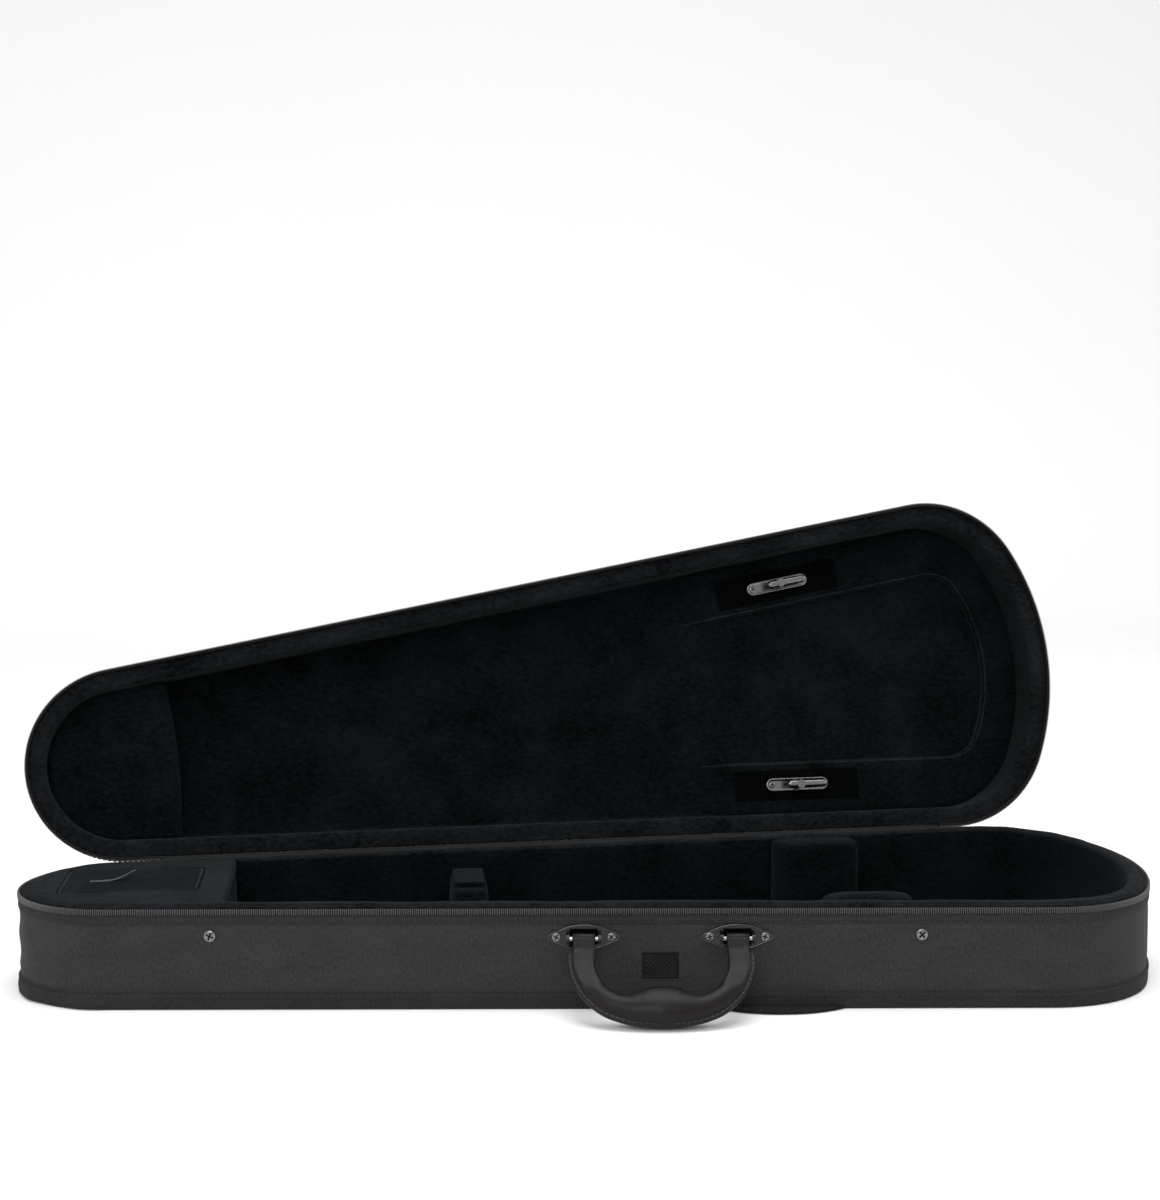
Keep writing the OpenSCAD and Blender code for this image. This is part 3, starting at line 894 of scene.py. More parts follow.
@dataclass(frozen=True)
class Upholsterer:
    """Makes soft pads from the case's plain solids."""

    pressure: float = 4.0
    frames: int = 20

    def copy(self, name: str, node: str, voxel: float, shrink: float = 0.0) -> bpy.types.Object:
        """Copies a node's solid into a new, evenly meshed piece.

        Args:
            name: the new piece's name.
            node: the solid's name.
            voxel: the mesh's grain in metres.
            shrink: how far the skin moves inwards first.

        Returns:
            The new piece.
        """
        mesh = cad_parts[node].data.copy()
        mesh.name = name
        mesh.materials.clear()
        with opened(mesh) as shape:
            bmesh.ops.remove_doubles(shape, verts=shape.verts, dist=1e-6)
        if "custom_normal" in mesh.attributes:
            mesh.attributes.remove(mesh.attributes["custom_normal"])
        piece = add_object(name, mesh)
        remesh = piece.modifiers.new("even", "REMESH")
        remesh.mode, remesh.voxel_size = "VOXEL", voxel
        self.apply(piece)
        if shrink:
            self.offset(piece, lambda _: -shrink)
        return piece

    def offset(self, piece: bpy.types.Object, height: Callable[[Vector], float]) -> None:
        """Moves every point of the piece along its own normal.

        Args:
            piece: the piece.
            height: how far a point at that place moves outwards.
        """
        mesh = piece.data
        places = [v.co.copy() for v in mesh.vertices]
        normals = [v.vector.copy() for v in mesh.vertex_normals]
        moved = [p + n * height(p) for p, n in zip(places, normals)]
        mesh.vertices.foreach_set("co", [c for p in moved for c in p])
        mesh.update()

    def apply(self, piece: bpy.types.Object) -> None:
        """Bakes the piece's modifiers into its mesh.

        Args:
            piece: the piece.
        """
        held = piece.evaluated_get(bpy.context.evaluated_depsgraph_get())
        mesh = bpy.data.meshes.new_from_object(held)
        old = piece.data
        piece.modifiers.clear()
        piece.data = mesh
        mesh.name = old.name
        bpy.data.meshes.remove(old)
        mesh.polygons.foreach_set("use_smooth", [True] * len(mesh.polygons))

    def relax(self, piece: bpy.types.Object, times: int, factor: float = 0.6) -> None:
        """Rounds the piece's edges.

        Args:
            piece: the piece.
            times: how many passes.
            factor: how strong each is.
        """
        soft = piece.modifiers.new("round", "SMOOTH")
        soft.factor, soft.iterations = factor, times
        self.apply(piece)

    def puff(self, piece: bpy.types.Object, cap: float) -> None:
        """Blows the piece up as stuffed cloth.

        Args:
            piece: an evenly meshed piece.
            cap: how far a point may move, in metres.
        """
        start = [v.co.copy() for v in piece.data.vertices]
        cloth = piece.modifiers.new("stuffing", "CLOTH")
        cloth.settings.use_pressure = True
        cloth.settings.uniform_pressure_force = self.pressure
        cloth.settings.effector_weights.gravity = 0.0
        cloth.settings.quality = 5
        for number in range(1, self.frames + 1):
            bpy.context.scene.frame_set(number)
        self.apply(piece)
        bpy.context.scene.frame_set(1)
        for v, p in zip(piece.data.vertices, start):
            move = v.co - p
            if move.length > cap:
                v.co = p + move.normalized() * cap
        fine = piece.modifiers.new("fine", "SUBSURF")
        fine.levels = fine.render_levels = 1
        self.apply(piece)

    def nap(self, piece: bpy.types.Object, height: float, size: float, seed: float = 0.0) -> None:
        """Gives the skin the unevenness of plush over wadding: humps of one height and size, in metres."""
        self.offset(piece, lambda p: height * ripple(*p, size, seed))


def wear(piece: bpy.types.Object, material: bpy.types.Material) -> None:
    """Gives a piece its one material."""
    piece.data.materials.clear()
    piece.data.materials.append(material)


def join(piece: bpy.types.Object, body: str, slot: str | None = None, *stands_for: str) -> bpy.types.Object:
    """Hands a piece to its body.

    Args:
        piece: the piece.
        body: the body that it rides on.
        slot: the record's material slot; not used.
        stands_for: the plain solids that it stands for.

    Returns:
        The piece.
    """
    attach(piece, body)
    if stands_for:
        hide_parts(*stands_for)
    LOG.info("%s: %d faces on %s", piece.name, len(piece.data.polygons), body)
    return piece


def dress_node(node: str, material: bpy.types.Material, bevel: float = 0.0) -> None:
    """Gives a carried-over solid its finish, and breaks its sharp edges.

    Args:
        node: the solid's name.
        material: its material.
        bevel: the width of the broken edge in metres.
    """
    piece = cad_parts[node]
    for slot in piece.material_slots:
        slot.material = material
    if not piece.material_slots:
        piece.data.materials.append(material)
    if bevel:
        edge = piece.modifiers.new("broken_edge", "BEVEL")
        edge.width, edge.segments, edge.limit_method = bevel, 2, "ANGLE"
        edge.angle_limit = math.radians(35)
        edge.harden_normals = False
    LOG.info("%s: kept, %s", node, material.name)


# ---------------------------------------------------------------- the two shells


@dataclass
class Heights:
    """The heights that the base and the closed lid share, and where the lid stands."""

    lid_open: float = 102.5
    zip_z: float = 0.067
    lid_top: float = 0.117
    binding: float = 0.0105
    tape: float = 0.0105
    chain: float = 0.0046
    gap: float = 0.0002
    floor_z: float = 0.0105
    ceiling_z: float = 0.1065
    rim_z: float = 0.070
    hinge_start: float = 0.026
    hinge_end_in: float = 0.013


@dataclass
class CaseShell:
    """What the base and the lid have in common: cover, zip, stitching and plush."""

    outline: Outline
    heights: Heights
    finishes: Wardrobe
    body: str
    turn: Matrix
    seed: float = 0.0

    def height(self, z: float) -> float:
        """The height of a point that lies z up from the shell's outer panel."""
        return z if self.body == "base" else self.heights.lid_top - z

    @property
    def depth(self) -> float:
        """The shell's height from its panel to the zip."""
        h = self.heights
        return h.zip_z if self.body == "base" else h.lid_top - h.zip_z

    @property
    def hinge(self) -> tuple[float, float]:
        """Where the hinge cloth starts and ends along the back side."""
        return self.heights.hinge_start, self.outline.side_l - self.heights.hinge_end_in

    def on_hinge(self, p: Station) -> bool:
        """Whether a place lies on the stretch of the hinge.

        Args:
            p: the place on the outline.

        Returns:
            True where the hinge cloth runs.
        """
        a = self.outline.side_along
        straight = abs(p.nx + a.y) < 1e-6 and p.ny > 0
        return straight and self.hinge[0] < self.outline.along_back(p) < self.hinge[1]

    def cover_profile(self, p: Station) -> list[Row]:
        """The cover's section: binding, wall and zip tape, then back down inside.

        Args:
            p: the place on the outline.

        Returns:
            The section's (depth, height) points.
        """
        top, hem = self.depth, self.heights.binding
        band = top - self.heights.tape
        tight = smooth((-0.29 - p.x) / 0.07) * smooth((0.02 - p.y) / 0.03) if self.body == "base" else 0.0
        rows: list[Row] = [(2.3 * MM, 0.3 * MM), (0.7 * MM, 0.05 * MM), (0.15 * MM, 0.5 * MM)]
        for k in range(7):
            z = 1.2 * MM + (hem - 2.2 * MM) * k / 6
            pull = 0.18 * MM * ripple(p.x, p.y, z, 0.013, 3 + self.seed)
            crease = tight * (2.6 * MM * ripple(p.x, p.y, z * 1.8, 0.015, 9) - 1.2 * MM * smooth(1 - k / 8))
            rows.append((0.12 * MM + pull + crease, z))
        rows += [(0.3 * MM, hem - 0.45 * MM), (0.75 * MM, hem), (1.5 * MM, hem + 0.1 * MM), (1.7 * MM, hem + 0.6 * MM)]
        steps = 17
        for k in range(steps + 1):
            z = hem + 1.4 * MM + (band - hem - 2.4 * MM) * k / steps
            ease = smooth(k / 3) * smooth((steps - k) / 3)
            soft = 0.28 * ripple(p.x, p.y, z, 0.055, 1 + self.seed) + 0.10 * ripple(p.x, p.y, z, 0.014, 5 + self.seed)
            folds = 1.1 * tight * ripple(p.x + z, p.y, z * 1.6, 0.024, 7)
            rows.append(((1.4 - 0.25 * ease + (soft + folds) * ease) * MM, z))
        rows += [(1.45 * MM, band - 0.5 * MM), (1.25 * MM, band - 0.1 * MM), (0.78 * MM, band + 0.15 * MM)]
        pillow = (
            (0.7, 0.68), (1.0, 0.9), (1.3, 1.12), (1.6, 0.9), (2.0, 0.62), (2.6, 0.5), (3.1, 0.74), (3.6, 0.52),
            (4.0, 0.66), (4.3, 0.95), (4.6, 1.1), (4.9, 0.95), (5.3, 0.75),
        )
        for up, depth in pillow:
            z = band + up * MM
            rows.append(((depth + 0.14 * ripple(p.x, p.y, z, 0.014, 11 + self.seed)) * MM, z))
        lip = top - self.heights.chain
        rows += [(0.95 * MM, lip), (2.5 * MM, lip), (2.6 * MM, top - 9 * MM), (2.6 * MM, 3 * MM)]
        return [(d, self.height(z)) for d, z in rows]

    def build_cover(self, stations: Sequence[Station], *stands_for: str) -> None:
        """Makes the woven cover with its binding and its zip tape.

        Args:
            stations: the places round the outline.
            stands_for: the plain solids that it replaces.
        """
        mesh = Sweep(self.outline, self.turn).skin(
            f"{self.body}_cover_cloth", stations, self.cover_profile, ring=True
        )
        f = self.finishes
        piece = add_object(mesh.name, mesh, f.cover, f.binding, f.tape)
        m, binding_end, wall_end = len(self.cover_profile(stations[0])), 13, 32
        for face in mesh.polygons[: len(stations) * m]:
            row = face.index % m
            face.material_index = 1 if row < binding_end else 0 if row < wall_end else 2
        join(piece, self.body, "woven_cover", *stands_for)

    def build_stitching(self, stations: Sequence[Station]) -> None:
        """Sews the rows on the binding and on the zip tape.

        Args:
            stations: the places round the outline.
        """
        hem, band = self.heights.binding, self.depth - self.heights.tape
        rows = ((hem - 1.5 * MM, 0.0), (band + 1.3 * MM, 0.95), (band + 4.6 * MM, 0.95))
        paths = []
        for z, depth in rows:
            path = []
            for p in [*stations, stations[0]]:
                out = (self.turn.to_3x3() @ Vector((p.nx, p.ny, 0))).normalized()
                path.append((self.turn @ p.at((depth - 0.05) * MM, self.height(z)), out))
            paths.append(path)
        mesh = Seam().sew(f"{self.body}_stitching", paths)
        join(add_object(mesh.name, mesh, self.finishes.thread), self.body, "binding")

    def build_zip(self, stations: Sequence[Station]) -> None:
        """Makes the row of coil teeth on its cord, except along the hinge.

        Args:
            stations: the places round the outline.
        """
        h = self.heights
        tall = h.chain - h.gap
        z = self.height(self.depth - h.gap - tall / 2)
        ring = self.stretch_without_hinge(stations)
        coil = CoilZip()
        places, owed = [], 0.0
        up = (self.turn.to_3x3() @ Vector((0, 0, 1))).normalized()
        for a, b in zip(ring, ring[1:]):
            span = math.hypot(b.x - a.x, b.y - a.y)
            while owed < span:
                share = owed / span
                out = self.turn.to_3x3() @ Vector((a.nx + (b.nx - a.nx) * share, a.ny + (b.ny - a.ny) * share, 0))
                places.append((self.turn @ a.at(0.95 * MM, z).lerp(b.at(0.95 * MM, z), share), out.normalized(), up))
                owed += coil.pitch
            owed -= span
        mesh = coil.teeth(f"{self.body}_zip_teeth", places, tall)
        join(add_object(mesh.name, mesh, self.finishes.teeth), self.body, "zip_teeth")
        low, high = self.depth - h.chain - 0.2 * MM, self.depth - h.gap - 0.35 * MM

        def cord(_: Station) -> list[Row]:
            """Draws the section of the tape's edge that carries the teeth.

            Args:
                _: the place on the outline, which the section doesn't depend on.

            Returns:
                The section's (depth, height) points.
            """
            lower = high - 0.4 * MM
            section = [(1.3, low), (1.25, lower), (1.6, high), (2.8, high), (3.15, lower), (3.15, low)]
            return [(d * MM, self.height(z)) for d, z in section]

        mesh = Sweep(self.outline, self.turn).skin(f"{self.body}_zip_cord", ring, cord, closed=False, ring=True)
        join(add_object(mesh.name, mesh, self.finishes.cord), self.body, "zip_teeth", f"{self.body}_zip_chain")

    def edge_plush(self, mesh: bpy.types.Mesh, places: int, rim_rows: int) -> None:
        """Gives the rows of faces over the padded rim the lighter plush, a painted highlight where the rim's top
        catches the light.

        Args:
            mesh: the plush.
            places: how many places round the outline it has.
            rim_rows: how many rows lie over the rim.
        """
        m = (len(mesh.polygons) - 1) // places
        for face in mesh.polygons[: places * m]:
            face.material_index = 1 if face.index % m < rim_rows else 0

    def stretch_without_hinge(self, stations: Sequence[Station]) -> list[Station]:
        """The places that the zip passes, in one run from the hinge's narrow end.

        Args:
            stations: the places round the outline.

        Returns:
            The places off the hinge, in order.
        """
        n = len(stations)
        first = next(i for i in range(n) if self.on_hinge(stations[i - 1]) and not self.on_hinge(stations[i]))
        run = [stations[(first + i) % n] for i in range(n)]
        return [p for p in run if not self.on_hinge(p)]

    def fill_rows(self, depth: float, last: float, z: float, bow: float, size: float) -> list[Row]:
        """The rows of a panel, from its edge to its middle.

        Args:
            depth: where the panel starts.
            last: where its last row lies.
            z: its height.
            bow: how far its middle stands up.
            size: the height of its unevenness.

        Returns:
            The (depth, height) points.
        """
        rows = []
        for k in range(1, 10):
            d = depth + (last - depth) * k / 9
            rows.append((d, z + bow * smooth(k / 6) + size * 0.2 * math.sin(k * 1.7)))
        return rows


@dataclass
class Base(CaseShell):
    """The lower half, which lies on its flat underside."""

    compartment_x: float = -0.247

    def build(self) -> None:
        """Builds the base's cover, zip and plush."""
        stations = self.outline.stations(4 * MM)
        self.build_cover(stations, "base_cover", "base_binding", "base_zip_tape")
        self.build_stitching(stations)
        self.build_zip(stations)
        mesh = Sweep(self.outline).skin("base_plush", stations, self.plush_profile, fill=True)
        f = self.finishes
        piece = add_object(mesh.name, mesh, f.plush, f.plush_highlit_rim)
        self.edge_plush(mesh, len(stations), 11)
        join(piece, self.body, "plush", "base_lining")
        dress_node("base_bottom", f.cover_solid)
        dress_node("base_shell", f.foam)

    def plush_profile(self, p: Station) -> list[Row]:
        """The plush's section: over the padded rim, down the wall and in over the floor.

        Args:
            p: the place on the outline.

        Returns:
            The section's (depth, height) points.
        """
        rim = self.heights.rim_z
        hump = 0.7 * MM * ripple(p.x, p.y, 0, 0.05, 2) + 0.3 * MM * ripple(p.x, p.y, 0, 0.014, 4) - 0.95 * MM
        rows = [(3.35, -5.4), (3.3, -3.7), (3.9, -2.9), (4.5, -2.3), (4.9, -1.5), (5.6, -0.65), (6.8, -0.1),
                (8.6, 0.2), (10.6, 0.25), (12.6, 0.0), (14.3, -0.7), (15.3, -1.9), (15.6, -3.6)]
        beside = smooth((self.compartment_x - p.x) / (4 * MM))
        tuck = 0.6 if self.on_hinge(p) else 0.0
        out = []
        for i, (d, z) in enumerate(rows):
            d -= tuck * (1 - smooth(i / 4))
            over = beside * smooth((d - 8) / 6)
            high = rim + (z * (1 - over) + 0.12 * over) * MM + (hump * (1 - over) if 4 <= i <= 11 else 0.0)
            out.append(((d + 2.2 * over) * MM, high))
        floor = self.heights.floor_z
        for k in range(1, 12):
            z = rim - 5.5 * MM - (rim - 8 * MM - floor - 1.5 * MM) * k / 11
            out.append(((15.6 + 0.5 * ripple(p.x, p.y, z, 0.04, 6)) * MM, z))
        out += [(16.2 * MM, floor + 1.4 * MM), (17.2 * MM, floor + 0.5 * MM), (19 * MM, floor + 0.15 * MM)]
        return out + self.fill_rows(20 * MM, 66 * MM, floor, 0.2 * MM, 0.3 * MM)


@dataclass
class Lid(CaseShell):
    """The upper half, drawn closed and turned to where it stands open."""

    def build(self) -> None:
        """Builds the lid's cover, zip, panel and plush."""
        stations = self.outline.stations(4 * MM)
        self.build_cover(stations, "lid_cover", "lid_binding", "lid_zip_tape")
        self.build_stitching(stations)
        self.build_zip(stations)
        f = self.finishes
        sweep = Sweep(self.outline, self.turn)
        mesh = sweep.skin("lid_top_cloth", stations, self.panel_profile, fill=True, flip=True)
        join(add_object(mesh.name, mesh, f.cover_solid), self.body, "stiff_panel", "lid_panel")
        mesh = sweep.skin("lid_plush", stations, self.plush_profile, fill=True)
        piece = add_object(mesh.name, mesh, f.plush, f.plush_highlit_rim)
        self.edge_plush(mesh, len(stations), 10)
        join(piece, self.body, "plush", "lid_lining")
        dress_node("lid_shell", f.foam)

    def panel_profile(self, p: Station) -> list[Row]:
        """The top panel's section, from the binding's fold to the middle.

        Args:
            p: the place on the outline, not used.

        Returns:
            The section's (depth, height) points.
        """
        top = self.heights.lid_top
        edge = ((2.4, -2.5), (1.3, -0.6), (1.8, 0.1), (3.2, -0.05))
        rows = [(d * MM, top + z * MM) for d, z in edge]
        return rows + self.fill_rows(5 * MM, 66 * MM, top, 1.6 * MM, 0.2 * MM)

    def plush_profile(self, p: Station) -> list[Row]:
        """The plush's section: the padded rim, the wall and the flat back.

        Args:
            p: the place on the outline.

        Returns:
            The section's (depth, height) points.
        """
        rim, back = self.heights.rim_z + 0.5 * MM, self.heights.ceiling_z
        hump = 0.3 * MM * ripple(p.x, p.y, 0, 0.05, 12) + 0.15 * MM * ripple(p.x, p.y, 0, 0.013, 14)
        rows = [(2.75, 3.0), (2.75, 1.4), (3.1, 0.6), (3.9, 0.15), (5.2, -0.1), (7.2, -0.25), (9.6, -0.3), (11.8, -0.2),
                (13.6, 0.2), (14.9, 0.95), (15.5, 2.2), (15.6, 3.8)]
        out = []
        for i, (d, z) in enumerate(rows):
            clear = 0.65 * MM * smooth((i - 2) / 2)
            out.append((d * MM, rim + z * MM + clear - (hump if 3 <= i <= 9 else 0.0)))
        for k in range(1, 9):
            z = rim + 5.5 * MM + (back - rim - 8.5 * MM) * k / 8
            out.append(((15.6 + 0.5 * ripple(p.x, p.y, z, 0.04, 16)) * MM, z))
        out += [(16.2 * MM, back - 1.4 * MM), (17.3 * MM, back - 0.5 * MM), (19 * MM, back - 0.15 * MM)]
        return out + self.fill_rows(20 * MM, 66 * MM, back, -0.2 * MM, 0.3 * MM)


@dataclass
class HingeCloth:
    """The cloth strip that joins the lid to the base, and the small tab on it."""

    outline: Outline
    heights: Heights
    finishes: Wardrobe
    turn: Matrix
    hinge: tuple[float, float]
    tab_at: float = 0.496
    tab_l: float = 0.031

    def build(self) -> None:
        """Builds the strip across the hinge and the tab."""
        zip_z, reach = self.heights.zip_z, self.heights.tape
        start, end = self.hinge
        n = round((end - start) / (4 * MM))
        heights = [-reach, -reach * 0.8, -6 * MM, -4 * MM, -2.6 * MM, -1.6 * MM, -0.9 * MM, -0.35 * MM]
        rows, cloth = [], []
        for i in range(n + 1):
            s = start + (end - start) * i / n
            wave = 0.12 * MM * ripple(s, 0, 0, 0.02, 21)
            line, run = [], []
            for depth in (0.25 * MM, 1.2 * MM):
                low = [self.outline.back(s, depth + wave, zip_z + z) for z in heights]
                high = [self.turn @ self.outline.back(s, depth + wave, zip_z - z) for z in reversed(heights)]
                whole = low + high
                line += whole if depth < MM else list(reversed(whole))
            for k in range(len(line)):
                run.append((s, 1.5 * MM * k))
            rows.append(line)
            cloth.append(run)
        mesh = grid_mesh("hinge_cloth", rows, cloth, (False, True))
        face_outwards(mesh)
        piece = add_object("hinge_cloth", mesh, self.finishes.hinge)
        axis = self.outline.back((start + end) / 2, 0, zip_z)
        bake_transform(piece)
        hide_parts("base_hinge_strip", "lid_hinge_strip")
        LOG.info("hinge_cloth: %d faces on base and lid", len(mesh.polygons))
        self.build_tab(zip_z)

    def build_tab(self, zip_z: float) -> None:
        """Builds the folded tab that covers a join in the hinge's tape.

        Args:
            zip_z: the height of the hinge line.
        """
        rows, cloth = [], []
        for i in range(25):
            u = -1 + 2 * i / 24
            s = self.tab_at + u * self.tab_l / 2
            end = math.sqrt(max(0.0, 1 - max(0.0, abs(u) - 0.8) ** 2 / 0.04))
            tall = (1.2 + 2.0 * end) * MM
            line, run = [], []
            section = ((5.1, 0), (5.0, 0.35), (4.75, 0.85), (4.1, 1.0), (3.5, 0.85), (3.25, 0.35), (3.2, 0))
            for depth, up in section:
                line.append(self.outline.back(s, depth * MM, zip_z - 0.6 * MM + tall * up))
                run.append((s, depth * MM + tall * up))
            rows.append(line)
            cloth.append(run)
        mesh = grid_mesh("hinge_tab_cloth", rows, cloth)
        join(add_object(mesh.name, mesh, self.finishes.webbing), "base", "binding", "hinge_tab")


# ---------------------------------------------------------------- inside the base


@dataclass
class WaistPads:
    """The two stuffed pads that hold the violin's waist."""

    finishes: Wardrobe
    tailor: Upholsterer

    def build(self) -> None:
        """Stuffs both pads."""
        for side, seed in (("front", 1.0), ("back", 4.0)):
            name = f"waist_cushion_{side}"
            piece = self.tailor.copy(name, f"waist_pad_{side}", 4 * MM, 1.2 * MM)
            self.tailor.relax(piece, 9)
            self.tailor.puff(piece, 5 * MM)
            self.tailor.nap(piece, 0.5 * MM, 0.02, seed)
            self.level(piece, f"waist_pad_{side}")
            wear(piece, self.finishes.plush)
            join(piece, "base", "plush", f"waist_pad_{side}")

    def level(self, piece: bpy.types.Object, node: str) -> None:
        """Keeps the stuffed pad on the floor and under the closed lid.

        Args:
            piece: the pad.
            node: the solid that it stands for.
        """
        low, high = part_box(node)
        for v in piece.data.vertices:
            v.co.z = min(max(v.co.z, low.z - 0.2 * MM), high.z + 0.4 * MM)


@dataclass
class NeckRest:
    """The notched block under the violin's neck, with its strap."""

    finishes: Wardrobe
    tailor: Upholsterer

    def build(self) -> None:
        """Stuffs the block and makes the strap."""
        piece = self.tailor.copy("neck_block", "neck_cradle", 3 * MM, 0.6 * MM)
        self.tailor.relax(piece, 3)
        self.tailor.puff(piece, 2 * MM)
        wear(piece, self.finishes.plush)
        join(piece, "base", "plush", "neck_cradle")
        f = self.finishes
        bands = (("neck_strap", "neck_band", f.plush), ("neck_strap_patch", "neck_band_patch", f.plush_patch))
        for node, name, material in bands:
            low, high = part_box(node)
            self.band(name, node, low, high, material)

    def band(self, name: str, node: str, low: Vector, high: Vector, material: bpy.types.Material) -> None:
        """Makes a flat band with rounded edges and a slight bow.

        Args:
            name: the piece's name.
            node: the solid that it stands for.
            low: the solid's lowest corner.
            high: the solid's highest corner.
            material: its material.
        """
        rows, cloth = [], []
        tall = high.z - low.z
        for i in range(21):
            v = i / 20
            y = low.y + (high.y - low.y) * v
            lift = 0.8 * MM * math.sin(math.pi * v) ** 2
            line, run = [], []
            section = (
                (0.02, 0.1), (0.0, 0.5), (0.02, 0.9), (0.08, 1), (0.5, 1), (0.92, 1), (0.98, 0.9), (1, 0.5),
                (0.98, 0.1), (0.9, 0), (0.5, 0), (0.1, 0),
            )
            for u, w in section:
                line.append(Vector((low.x + (high.x - low.x) * u, y, low.z + tall * w * 0.8 + lift)))
                run.append(((high.x - low.x) * u, (high.y - low.y) * v))
            rows.append(line)
            cloth.append(run)
        mesh = grid_mesh(name, rows, cloth, (False, True))
        close_ends(mesh, len(rows), len(rows[0]))
        join(add_object(name, mesh, material), "base", "webbing", node)


@dataclass
class AccessoryBox:
    """The covered compartment at the narrow end: frame, divider, lid and ribbon tab."""

    finishes: Wardrobe
    tailor: Upholsterer
    edge: float = 0.0009

    def build(self) -> None:
        """Builds the compartment."""
        f = self.finishes
        # the frame takes the lighter plush, a painted highlight on its lit top
        parts = (("accessory_frame", "compartment_frame", 2.0, f.plush_highlit_rim, "base"),
                 ("accessory_divider", "compartment_wall", 2.0, f.plush, "base"),
                 ("accessory_lid", "compartment_lid", 1.4, f.plush, "accessory_lid"))
        for node, name, grain, material, body in parts:
            piece = self.tailor.copy(name, node, grain * MM)
            self.tailor.relax(piece, 2)
            self.tailor.nap(piece, 0.18 * MM, 0.016, 3)
            wear(piece, material)
            join(piece, body, "plush", node)
        self.build_piping()
        self.build_tab()

    def build_piping(self) -> None:
        """Lays the stitched piping round the lid's top edge, its lighter plush a painted highlight on the lit edge."""
        low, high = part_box("accessory_lid")
        r, inset = 0.006, 1.0 * MM
        x0, x1, y0, y1, z = low.x + inset, high.x - inset, low.y + inset, high.y - inset, high.z - 0.3 * MM
        path: list[Vector] = []
        for cx, cy, a0 in ((x1 - r, y1 - r, 0), (x0 + r, y1 - r, 90), (x0 + r, y0 + r, 180), (x1 - r, y0 + r, 270)):
            for k in range(7):
                a = math.radians(a0 + 15 * k)
                path.append(Vector((cx + r * math.cos(a), cy + r * math.sin(a), z)))
        rows, cloth = [], []
        for i, p in enumerate(path):
            ahead = (path[(i + 1) % len(path)] - path[i - 1]).normalized()
            side = Vector((ahead.y, -ahead.x, 0))
            ring = [p + (side * math.cos(q * math.pi / 4) + Vector((0, 0, 1)) * math.sin(q * math.pi / 4)) * self.edge
                    for q in range(8)]
            rows.append(ring)
            cloth.append([(0.004 * i, self.edge * q) for q in range(8)])
        mesh = grid_mesh("compartment_piping", rows, cloth, (True, True))
        piece = add_object(mesh.name, mesh, self.finishes.piping)
        join(piece, "accessory_lid", "plush")

    def build_tab(self) -> None:
        """Makes the ribbon tab, a glossy strip that curls up from the lid."""
        low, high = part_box("accessory_tab")
        rows, cloth = [], []
        long, wide = high.x - low.x, high.y - low.y
        for i in range(33):
            t = i / 32
            x = low.x + long * t
            y = low.y + wide * (0.3 + 0.4 * t)
            lift = 0.25 * MM + 8.0 * MM * smooth((t - 0.25) / 0.95) ** 1.6
            line, run = [], []
            for u, up in ((0, 0), (0.5, 0.1), (1, 0), (1, 0.4), (0.5, 0.5), (0, 0.4)):
                line.append(Vector((x, y + (u - 0.5) * 0.004, low.z + lift + up * MM)))
                run.append((long * t, 0.006 * u))
            rows.append(line)
            cloth.append(run)
        mesh = grid_mesh("ribbon_tab", rows, cloth, (False, True))
        close_ends(mesh, len(rows), 6)
        join(add_object(mesh.name, mesh, self.finishes.ribbon), "accessory_lid", "ribbon", "accessory_tab")


# ---------------------------------------------------------------- inside the lid


